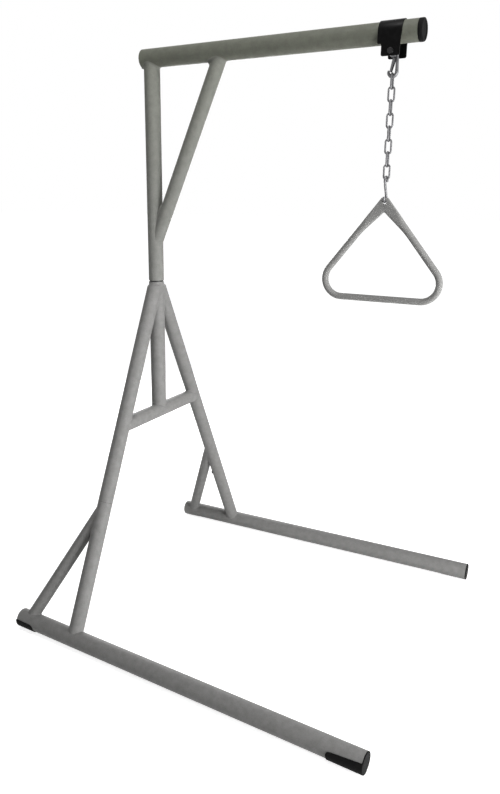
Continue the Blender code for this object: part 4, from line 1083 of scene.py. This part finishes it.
def tongue(length, tops, flange, hand, place, turn):
    """The tongue that a foot lays under and outside a rail, with soft edges."""
    inner = RAIL_OD / 2 + SEAT
    spread = math.radians(tops[0] - TONGUE_INNER_DEG) * inner
    bm = bmesh.new()
    near = []
    far = []
    for row in range(TONGUE_ROWS + 1):
        near.append([])
        far.append([])
        for column in range(TONGUE_COLUMNS + 1):
            across = column / TONGUE_COLUMNS
            edge = min(across, 1 - across) * spread
            short = max(0.0, TONGUE_CORNER - edge)
            reach = length - TONGUE_CORNER + math.sqrt(max(0.0, TONGUE_CORNER ** 2 - short ** 2))
            depth = row / TONGUE_ROWS * reach
            top = tops[1] + (tops[0] - tops[1]) * depth / length
            angle = math.radians(TONGUE_INNER_DEG + across * (top - TONGUE_INNER_DEG))
            rim = min(1.0, min(edge, reach - depth) / FOOT_WALL)
            thick = FOOT_WALL * (TONGUE_EDGE + (1 - TONGUE_EDGE) * math.sqrt(max(0.0, 1 - (1 - rim) ** 2)))
            way = Vector((hand * math.cos(angle), math.sin(angle), 0))
            rise = Vector((0, 0, flange - depth))
            near[-1].append(bm.verts.new(way * inner + rise))
            far[-1].append(bm.verts.new(way * (inner + thick) + rise))
    for sheet in (near, far):
        for first, second in zip(sheet, sheet[1:]):
            skin(bm, first, second)
    for end in (0, -1):
        skin(bm, [row[end] for row in near], [row[end] for row in far])
        skin(bm, near[end], far[end])
    carry(bm, place, turn)
    return settle(bm, "tongue")


def lip(top, flange, hand, place, turn):
    """The sector of a foot's end plate that reaches out to its tongue."""
    bm = bmesh.new()
    low = TONGUE_INNER_DEG + LIP_INSET_DEG
    high = top - LIP_INSET_DEG
    middle = math.radians((low + high) / 2)
    root = RAIL_OD / 4
    outline = [(root * math.cos(middle), root * math.sin(middle))]
    outline.extend(arc((0.0, 0.0), RAIL_OD / 2 + SEAT + LIP_OVERLAP, low, high, 40))
    drawn_out(bm, [(hand * across, up, SEAT) for across, up in outline], (0, 0, flange - SEAT - LIP_SINK))
    carry(bm, place, turn)
    return settle(bm, "lip")


def build_foot(word, place, outward, side, flange, length, tops, full, rubber):
    """A plug, an end plate and a tongue moulded in one."""
    turn = upright_turn(outward)
    hand = 1 if (turn @ FORWARD).y * side > 0 else -1
    bore = RAIL_OD / 2 - RAIL_WALL - SEAT
    rim = RAIL_OD / 2 + SEAT if full else bore
    profile = [(0.0, flange)]
    profile.extend(arc((rim - FOOT_ROUND, flange - FOOT_ROUND), FOOT_ROUND, 90, 0, 4))
    profile.append((rim, SEAT))
    if full:
        profile.append((bore, SEAT))
    profile.extend(plug_profile(bore, 0.0)[1:])
    plug = turned("plug", profile, place, turn, 72)
    sheet = tongue(length, tops, flange, hand, place, turn)
    plate = lip(tops[0], flange, hand, place, turn)
    foot = melted(joined("foot_" + word, plug, sheet, plate), FOOT_VOXEL, 5)
    for vert in foot.data.vertices:
        vert.co.z = max(vert.co.z, 0.0)
    dress(foot, "stand", rubber, word.replace("_", "_foot_"))


def build_feet(rubber):
    for side, word in SIDES:
        way = rail_way(side)
        build_foot("front_" + word, rail_point(side, RAIL_FRONT), way, side, FRONT_FLANGE, FRONT_TONGUE,
                   FRONT_TONGUE_TOP, True, rubber)
        build_foot("rear_" + word, rail_point(side, -RAIL_BACK), -way, side, REAR_LIP, REAR_TONGUE,
                   REAR_TONGUE_TOP, False, rubber)


def build_button(name, body, place, outward, bore, crown, plastic, node):
    """A domed push button with its flange inside the inner tube."""
    top = math.sqrt(bore ** 2 - (BUTTON_FLANGE_D / 2) ** 2) - SEAT
    radius = BUTTON_D / 2
    profile = []
    for step in range(13):
        angle = math.radians(90 * step / 12)
        profile.append((radius * math.sin(angle), crown - BUTTON_DOME * (1 - math.cos(angle))))
    profile.extend([(radius, top), (BUTTON_FLANGE_D / 2, top), (BUTTON_FLANGE_D / 2, top - BUTTON_FLANGE)])
    profile.append((0.0, top - BUTTON_FLANGE))
    dress(turned(name, profile, place, aim(outward), 48), body, plastic, node)


def build_leaf(node, finish):
    """A button's leaf spring: one arm rests on the tube, the other goes in with the button."""
    source = frame["nodes"][node]
    bm = bmesh.new()
    bm.from_mesh(source.data)
    bmesh.ops.transform(bm, verts=bm.verts, matrix=source.matrix_world)
    bmesh.ops.remove_doubles(bm, verts=bm.verts, dist=MERGE / 2)
    leaf = settle(bm, node + "_leaf")
    leaf.data.materials.append(finish)
    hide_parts(node)
    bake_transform(leaf)


def build_buttons(plastic, zinc):
    mast_place = at(0, 0, POST_TOP - MAST_BUTTON_DROP)
    places = [("mast", "mast", mast_place, -FORWARD, MAST_OD / 2, MAST_WALL)]
    for side, word in SIDES:
        place, outward, _ = button_place(side)
        places.append((word, "leg_" + word, place, outward, LEG_OD / 2, LEG_WALL))
    for word, node, place, outward, radius, wall in places:
        bore = radius - wall - SEAT - INSERT_WALL
        body = word + "_button"
        crown = radius + BUTTON_PROUD
        build_button("button_" + word, body, place, outward, bore, crown, plastic, node + "_button")
        build_leaf(node + "_spring", zinc)


# Clamp

def build_strap(coat):
    """Flat bar bent over the boom, its outline narrowed to two cheeks, every edge broken."""
    foot = -CHEEK_DROP - STRAP_SPARE
    bends = []
    for radius in (HALF_STRAP, HALF_STRAP + STRAP_THICK):
        bend = [(-radius, foot), (-radius, foot / 2)]
        bend.extend(arc((0.0, 0.0), radius, 180, 0, 72))
        bend.extend([(radius, foot / 2), (radius, foot)])
        bends.append(bend)
    rear = -STRAP_REAR - STRAP_SPARE
    front = STRAP_FRONT + STRAP_SPARE
    bm = bmesh.new()
    rows = []
    for (across, up), (wide, high) in zip(*bends):
        rows.append([(rear, across, up), (front, across, up), (front, wide, high), (rear, wide, high)])
    sweep(bm, rows, looped=False)
    strap = settle(bm, "strap")
    corners = ((-STRAP_REAR, BOOM_OD), (-STRAP_REAR, -STEP_DROP), (-CHEEK_REAR, -STEP_DROP),
               (-CHEEK_REAR, -CHEEK_DROP), (CHEEK_FRONT, -CHEEK_DROP), (CHEEK_FRONT, -STEP_DROP),
               (STRAP_FRONT, 0.0), (STRAP_FRONT, BOOM_OD))
    radii = (0, STEP_ROUND, STEP_ROUND, CHEEK_CORNER, CHEEK_CORNER, STEP_ROUND, STEP_ROUND, 0)
    strap = carved(strap, [slab("side_view", rounded(corners, radii, 12), BOOM_OD)], "INTERSECT")
    bolt = Vector((0, 0, -BOLT_DROP))
    strap = carved(strap, [rod("hole", bolt - LEFT * BOOM_OD, bolt + LEFT * BOOM_OD, BOLT_HOLE_D / 2)])
    strap = softened(strap, STRAP_EDGE, 3, 40)
    dress(moved(strap, at(CHAIN_X, 0, BOOM_Z)), "clamp", coat, "clamp_strap")


def hexagon(name, height, place, way, bore=0.0):
    """A hexagonal prism with its corners turned off at the far end."""
    corner = BOLT_FLATS / math.sqrt(3)
    turn = aim(way)
    bm = bmesh.new()
    bmesh.ops.create_cone(bm, cap_ends=True, segments=6, radius1=corner, radius2=corner, depth=height,
                          matrix=Matrix.Translation((0, 0, height / 2)))
    carry(bm, place, turn)
    prism = settle(bm, name)
    face = BOLT_FLATS / 2 * HEAD_FACE
    wide = corner + TRIM_SPARE
    drop = (wide - face) * math.tan(math.radians(HEAD_CHAMFER_DEG))
    cone = ((0.0, height), (face, height), (wide, height - drop), (wide, -TRIM_SPARE), (0, -TRIM_SPARE))
    prism = carved(prism, [turned("chamfer", cone, place, turn, 60)], "INTERSECT")
    if bore:
        prism = carved(prism, [rod("bore", place - way * height, place + way * 2 * height, bore / 2)])
    return softened(prism, HEAD_EDGE, 2, 20)


def ring_profile(inner, outer, thick):
    half = thick / 2
    return [(inner, half), (outer - BROKEN, half), (outer, half - BROKEN), (outer, -half + BROKEN),
            (outer - BROKEN, -half), (inner, -half)]


def build_fixings(zinc, thread):
    """Bolt, washers, locking nut and spacers on the clamp's cross axis."""
    bolt_at = at(CHAIN_X, 0, BOOM_Z - BOLT_DROP)
    across = aim(LEFT)
    face = HALF_STRAP + STRAP_THICK
    seat = face + WASHER_THICK + 2 * SEAT
    head = hexagon("bolt_head", BOLT_HEAD, bolt_at - LEFT * seat, -LEFT)
    end = seat + NUT_HEIGHT + NUT_COLLAR + THREAD_END
    start = bolt_at - LEFT * (seat + BOLT_HEAD / 2)
    root = BOLT_D / 2 - THREAD_DEPTH
    grip_end = seat + BOLT_HEAD / 2 + seat - BOLT_RUN_OUT
    full = seat + BOLT_HEAD / 2 + end
    profile = ((0, full), (root - BOLT_CHAMFER, full), (root, full - BOLT_CHAMFER), (root, grip_end),
               (BOLT_D / 2, grip_end), (BOLT_D / 2, 0), (0, 0))
    shank = turned("shank", profile, start, across, 48)
    turns = (full - grip_end - 2 * BOLT_CHAMFER) / THREAD_PITCH
    ridge = grown("ridge", thread, {"Radius": BOLT_D / 2, "Pitch": THREAD_PITCH, "Turns": turns})
    ridge.data.transform(Matrix.Translation(start + LEFT * (grip_end + BOLT_CHAMFER)) @ across.to_4x4())
    dress(joined("cross_bolt", head, shank, ridge), "clamp", zinc, "clamp_bolt")
    nut = hexagon("lock_nut", NUT_HEIGHT, bolt_at + LEFT * seat, LEFT, BOLT_D + 2 * SEAT)
    inner = BOLT_D / 2 + SEAT
    outer = NUT_COLLAR_D / 2
    top = NUT_COLLAR + COLLAR_SINK
    cut, ease = COLLAR_ROUND
    collar = [(inner, top), (outer - cut, top), (outer - ease, top - ease), (outer, top - cut), (outer, 0),
              (inner, 0)]
    base = bolt_at + LEFT * (seat + NUT_HEIGHT - COLLAR_SINK)
    ring = turned("collar", collar, base, across, 48, looped=True)
    dress(joined("lock_nut", nut, ring), "clamp", zinc, "clamp_nut")
    spacer = HALF_STRAP - SEAT - (HOOK_WIRE_R + SEAT)
    rings = (("washer_", WASHER_D, WASHER_THICK, face + SEAT + WASHER_THICK / 2, 64),
             ("spacer_", SPACER_D, spacer, HOOK_WIRE_R + SEAT + spacer / 2, 48))
    for side, word in SIDES:
        for name, wide, thick, middle, steps in rings:
            base = bolt_at + LEFT * (side * middle)
            profile = ring_profile(inner, wide / 2, thick)
            ring = turned(name + word, profile, base, across, steps, looped=True)
            dress(ring, "clamp", zinc, "clamp_" + name + word)


# Hook, chain, S-hook and grip

def hook_path():
    """Centreline from the eye's front down the back, round the bowl and up to the tip."""
    back = BOWL_X + BOWL_R
    path = [(EYE_R + across, up) for across, up in NECK]
    path.extend([(back, -drop) for drop in SHANK_DROPS])
    path.extend(arc((BOWL_X, -BOWL_DROP), BOWL_R, 0, -180, 36))
    path.append((BOWL_X - BOWL_R, -BOWL_DROP + TIP_RISE * 0.6))
    path.append((BOWL_X - BOWL_R - TIP_LEAN, -BOWL_DROP + TIP_RISE))
    return path


def hook_thickness(path):
    """Thickness along the hook: swelling into the bowl's foot, then slimming to the tip."""
    foot = -BOWL_DROP - BOWL_R
    tip = path[-1][1]
    factors = []
    for across, up in path:
        if across > BOWL_X:
            share = min(1.0, max(0.0, (SWELL_DROP + up) / (SWELL_DROP + foot)))
            factors.append(1 + share * (BOWL_WIRE_R / HOOK_WIRE_R - 1))
        else:
            share = math.sqrt(min(1.0, (up - foot) / (tip - foot)))
            factors.append((BOWL_WIRE_R + share * (TIP_WIRE_R - BOWL_WIRE_R)) / HOOK_WIRE_R)
    return factors


def build_hook(zinc, wire):
    """A forged hook: eye, shank, bowl and latch boss run into each other."""
    path = hook_path()
    line = wire_path("bar", [(across, 0, up) for across, up in path], hook_thickness(path), HOOK_TIP_ROUND)
    bar = grown("bar", wire, {"Wire": 2 * HOOK_WIRE_R, "Sides": 32}, line)
    turns = [math.tau * step / 28 for step in range(28)]
    rim = [(EYE_R + HOOK_WIRE_R * math.cos(angle), HOOK_WIRE_R * math.sin(angle)) for angle in turns]
    eye = turned("eye", rim, (0, 0, 0), aim(LEFT), 72, looped=True)
    top = -PIN_DROP + BOSS_R
    foot = -PIN_DROP - BOSS_R
    corners = ((PIN_X - BOSS_R, top), (PIN_X - BOSS_R, foot), (BOSS_ROOT_X, foot - BOSS_FLARE[0]),
               (BOSS_ROOT_X, top + BOSS_FLARE[1]))
    boss = slab("boss", rounded(corners, (BOSS_ROUND, BOSS_ROUND, 0, 0)), BOSS_HALF)
    hook = melted(joined("forged_hook", bar, eye, boss), HOOK_VOXEL, 6)
    pin = Vector((PIN_X, 0, -PIN_DROP))
    hole = rod("pin_hole", pin - LEFT * PIN_HOLE_HALF, pin + LEFT * PIN_HOLE_HALF, PIN_D / 2 + SEAT, 32)
    hook = carved(hook, [hole], sharp_deg=SOFT_DEG)
    dress(moved(hook, at(CHAIN_X, 0, BOOM_Z - BOLT_DROP)), "hook", zinc, "hook_body")


def build_chain(zinc, link):
    for index in range(CHAIN_LINKS):
        number = "link_%d" % (index + 1)
        node = "chain_" + number
        low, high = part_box(node)
        turn = Euler((math.pi / 2, 0, 0 if index % 2 else math.pi / 2))
        values = {"Length": CHAIN_PITCH + CHAIN_WIRE + SEAT, "Width": CHAIN_WIDTH - CHAIN_WIRE,
                  "Wire": CHAIN_WIRE, "Place": (low + high) / 2, "Turn": turn}
        dress(grown("oval_" + number, link, values), number, zinc, node)


def build_s_hook(zinc, wire):
    """Round wire bent to an S, with both ends left open."""
    top = CHAIN_WIRE / 2 + SEAT + S_WIRE / 2
    upper = (0.0, top - S_LOOP_R)
    lower = (0.0, top - S_LENGTH + S_LOOP_R)
    lean = math.degrees(math.asin(2 * S_LOOP_R / (upper[1] - lower[1])))
    path = [(S_LOOP_R, upper[1] - S_TAIL)]
    path.extend(arc(upper, S_LOOP_R, 0, 180 + lean, 40))
    path.extend(arc(lower, S_LOOP_R, lean, -180, 40))
    path.append((-S_LOOP_R, lower[1] + S_TAIL))
    line = wire_path("s_wire", [(0, across, up) for across, up in path], [1.0] * len(path), S_TIP_ROUND)
    piece = grown("s_wire", wire, {"Wire": S_WIRE, "Sides": 32}, line)
    dress(moved(piece, joint_place("s_hook_swing")), "s_hook", zinc, "s_hook")


def grip_section(inner, outer, left):
    """Middle, outward direction, half sizes and squareness of an arm's section between its edges."""
    press = min(1.0, max(0.0, (GRIP_FLAT_START - left) / GRIP_FLAT_RUN))
    press = press * press * (3 - 2 * press)
    thin = GRIP_OD / 2 + (GRIP_FLAT_HALF - GRIP_OD / 2) * press
    across = outer - inner
    return (inner + outer) / 2, across.normalized(), across.length / 2, thin, press


def grip_stations():
    """The sections of half the grip, from the middle of the bar round to the apex."""
    half = GRIP_OD / 2
    corner = Vector((GRIP_WIDTH / 2 - half - GRIP_BEND_R, -GRIP_DROP + GRIP_BEND_R))
    apex = Vector((0, GRIP_APEX_RISE)) - corner
    arm = math.atan2(corner.x, apex.y) + math.asin(GRIP_BEND_R / apex.length)
    out = unit(arm)
    way = out.orthogonal()
    start = corner + out * GRIP_BEND_R
    length = start.x / math.sin(arm)
    stations = []
    for step in range(13):
        stations.append((Vector((corner.x * step / 13, -GRIP_DROP)), Vector((0, -1)), half, half, 0.0))
    for step in range(33):
        angle = (math.pi / 2 + arm) * step / 32 - math.pi / 2
        aside = unit(angle)
        stations.append((corner + aside * GRIP_BEND_R, aside, half, half, 0.0))
    edge = start + out * half
    widening = math.tan(math.radians(GRIP_FLARE_DEG))
    for step in range(41):
        share = 1 - (1 - GRIP_BLEND) * step / 40
        run = GRIP_FLARE_LENGTH * (1 - share)
        run = min(run, GRIP_FLARE_EASE) ** 2 / (2 * GRIP_FLARE_EASE) + max(0.0, run - GRIP_FLARE_EASE)
        left = GRIP_FLARE_LENGTH * share
        outer = edge + way * (length - left)
        inner = outer - out * (GRIP_OD + run * widening)
        stations.append(grip_section(inner, outer, left))
    slope = arm + math.radians(GRIP_FLARE_DEG)
    centre = Vector((0, inner.y + inner.x / math.tan(slope) - GRIP_APEX_ROUND / math.sin(slope)))
    first = centre + unit(slope) * GRIP_APEX_ROUND
    outer = first + out * (edge - first).dot(out)
    rise = outer.x / math.tan(arm)
    for step in range(17):
        share = step / 16
        angle = slope + (math.pi / 2 - slope) * share
        inside = centre + unit(angle) * GRIP_APEX_ROUND
        outside = Vector((outer.x * (1 - share), outer.y + rise * share))
        stations.append(grip_section(inside, outside, 0.0))
    return stations


def build_grip(coat):
    """Half of the bent bar is lofted and mirrored; its flattened top is trimmed and drilled."""
    bm = bmesh.new()
    rings = []
    for middle, out, wide, thin, press in grip_stations():
        row = []
        power = 1 / (1 + 1.5 * press)
        for step in range(GRIP_SIDES):
            angle = math.tau * step / GRIP_SIDES
            across = math.copysign(abs(math.cos(angle)) ** power, math.cos(angle))
            aside = math.copysign(abs(math.sin(angle)) ** power, math.sin(angle))
            spot = middle + out * (wide * across)
            row.append(bm.verts.new((spot.x, thin * aside, spot.y)))
        rings.append(row)
    for first, second in zip(rings, rings[1:]):
        skin(bm, first + first[:1], second + second[:1])
    grip = settle(bm, "triangle_grip")
    mirror = grip.modifiers.new("mirror", "MIRROR")
    mirror.use_clip = True
    mirror.merge_threshold = 0.00005
    grip = baked(grip)
    block = slab("trim", ((-GRIP_TRIM, GRIP_TOP), (GRIP_TRIM, GRIP_TOP), (GRIP_TRIM, GRIP_TRIM),
                          (-GRIP_TRIM, GRIP_TRIM)), GRIP_TRIM / 2)
    bore = S_LOOP_R - S_WIRE / 2
    radius = GRIP_HOLE_D / 2
    waist = GRIP_FLAT_HALF - GRIP_HOLE_CHAMFER
    hole_z = S_LOOP_R - math.sqrt(bore ** 2 - waist ** 2) + SEAT - radius
    reach = GRIP_FLAT_HALF + DRILL_SPARE
    wide = radius + GRIP_HOLE_CHAMFER + DRILL_SPARE
    bobbin = ((0, reach), (wide, reach), (radius, waist), (radius, -waist), (wide, -reach), (0, -reach))
    drill = turned("drill", bobbin, (0, 0, hole_z), aim(LEFT), 48)
    grip = carved(carved(grip, [block]), [drill])
    dress(moved(grip, joint_place("grip_swing")), "grip", coat, "hand_grip")


# Studio

def build_camera():
    """A camera where the photograph's stood: a place, a way to look and a shifted lens."""
    ahead = Vector((math.cos(PITCH) * math.cos(YAW), math.cos(PITCH) * math.sin(YAW), math.sin(PITCH)))
    right = ahead.cross(UP).normalized()
    across = right * math.cos(ROLL) + right.cross(ahead) * math.sin(ROLL)
    turn = Matrix((across, across.cross(ahead), -ahead)).transposed().to_4x4()
    camera = bpy.data.cameras.new("camera")
    camera.lens = LENS
    camera.sensor_width = SENSOR
    camera.shift_x, camera.shift_y = LENS_SHIFT
    holder = bpy.data.objects.new("camera", camera)
    holder.matrix_world = Matrix.Translation(CAMERA_PLACE) @ turn
    bpy.context.scene.collection.objects.link(holder)
    bpy.context.scene.camera = holder


def aim_light(name, place, target, size, power):
    lamp = bpy.data.lights.new(name, "AREA")
    lamp.shape = "DISK"
    lamp.size = size
    lamp.energy = power
    holder = bpy.data.objects.new(name, lamp)
    bpy.context.scene.collection.objects.link(holder)
    holder.location = place
    holder.rotation_euler = (Vector(target) - Vector(place)).to_track_quat("-Z", "Y").to_euler()


def split_rays(tree, light, face, out):
    """Show one shader in view, in mirrors and through glass, and light the scene with another."""
    path = put(tree, "ShaderNodeLightPath")
    shown = maths(tree, "MAXIMUM", path["Is Camera Ray"], path["Is Glossy Ray"])
    shown = maths(tree, "MAXIMUM", shown, path["Is Transmission Ray"])
    mix = put(tree, "ShaderNodeMixShader", shown, light, face)[0]
    feed(tree, tree.nodes[out].inputs[0], mix)


def build_world(fill):
    world = bpy.data.worlds.new("studio")
    world.use_nodes = True
    bpy.context.scene.world = world
    tree = world.node_tree
    soft = tree.nodes["Background"]
    soft.inputs["Color"].default_value = (1, 1, 1, 1)
    soft.inputs["Strength"].default_value = fill
    white = put(tree, "ShaderNodeBackground", Color=(1, 1, 1, 1), Strength=1.0)[0]
    split_rays(tree, soft.outputs[0], white, "World Output")


def build_floor():
    """A plain pale floor that keeps the object's shadow and is white further out."""
    bm = bmesh.new()
    bmesh.ops.create_grid(bm, x_segments=1, y_segments=1, size=FLOOR_HALF)
    mesh = bpy.data.meshes.new("floor")
    bm.to_mesh(mesh)
    bm.free()
    floor = new_mesh_object("floor", mesh)
    floor.location.z = -FLOOR_DROP
    paint = bpy.data.materials.new("floor_paint")
    paint.use_nodes = True
    tree = paint.node_tree
    tree.nodes.remove(tree.nodes["Principled BSDF"])
    matt = put(tree, "ShaderNodeBsdfDiffuse", Color=(0.8, 0.8, 0.8, 1))[0]
    spot = put(tree, "ShaderNodeTexCoord")["Object"]
    reach = put(tree, "ShaderNodeVectorMath", spot, operation="LENGTH")["Value"]
    rise = put(tree, "ShaderNodeMapRange", reach, *FLOOR_REACH, *FLOOR_GLOW)["Result"]
    glow = put(tree, "ShaderNodeEmission", Strength=rise)[0]
    split_rays(tree, matt, put(tree, "ShaderNodeAddShader", matt, glow)[0], "Material Output")
    mesh.materials.append(paint)


def build_trapeze():
    stand_coat = coat_finish("stand_coat", *STAND_TONES)
    mast_painted_light_and_shade_coat = coat_finish("stand_coat", *MAST_PAINTED_LIGHT_TONES, MAST_TOP_PAINTED_SHADE)
    boom_painted_shade_coat = coat_finish("stand_coat", *BOOM_PAINTED_SHADE_TONES)
    grip_coat = coat_finish("grip_coat", *GRIP_TONES)
    zinc = zinc_finish(*ZINC_TONES)
    black_zinc_and_gap_shade = zinc_finish(*BLACK_ZINC_AND_GAP_SHADE_TONES)
    black_coat, rubber, plastic = black_finishes()
    wire = wire_tree()
    tubes = stand_tubes()
    build_tubes(tubes, stand_coat, mast_painted_light_and_shade_coat, boom_painted_shade_coat)
    build_inserts(black_zinc_and_gap_shade)
    build_welds(tubes, stand_coat, mast_painted_light_and_shade_coat)
    build_boom_ends(rubber, plastic)
    build_feet(rubber)
    build_buttons(plastic, zinc)
    build_strap(black_coat)
    build_fixings(black_zinc_and_gap_shade, thread_tree())
    build_hook(zinc, wire)
    build_chain(zinc, link_tree())
    build_s_hook(zinc, wire)
    build_grip(grip_coat)
    for node in ("hook_latch", "latch_pin", "latch_spring"):
        refinish(node, zinc)


build_camera()
build_world(WORLD_FILL)
build_floor()
for lamp in LAMPS:
    aim_light(*lamp)
build_trapeze()
bpy.context.scene.view_settings.view_transform = "Standard"
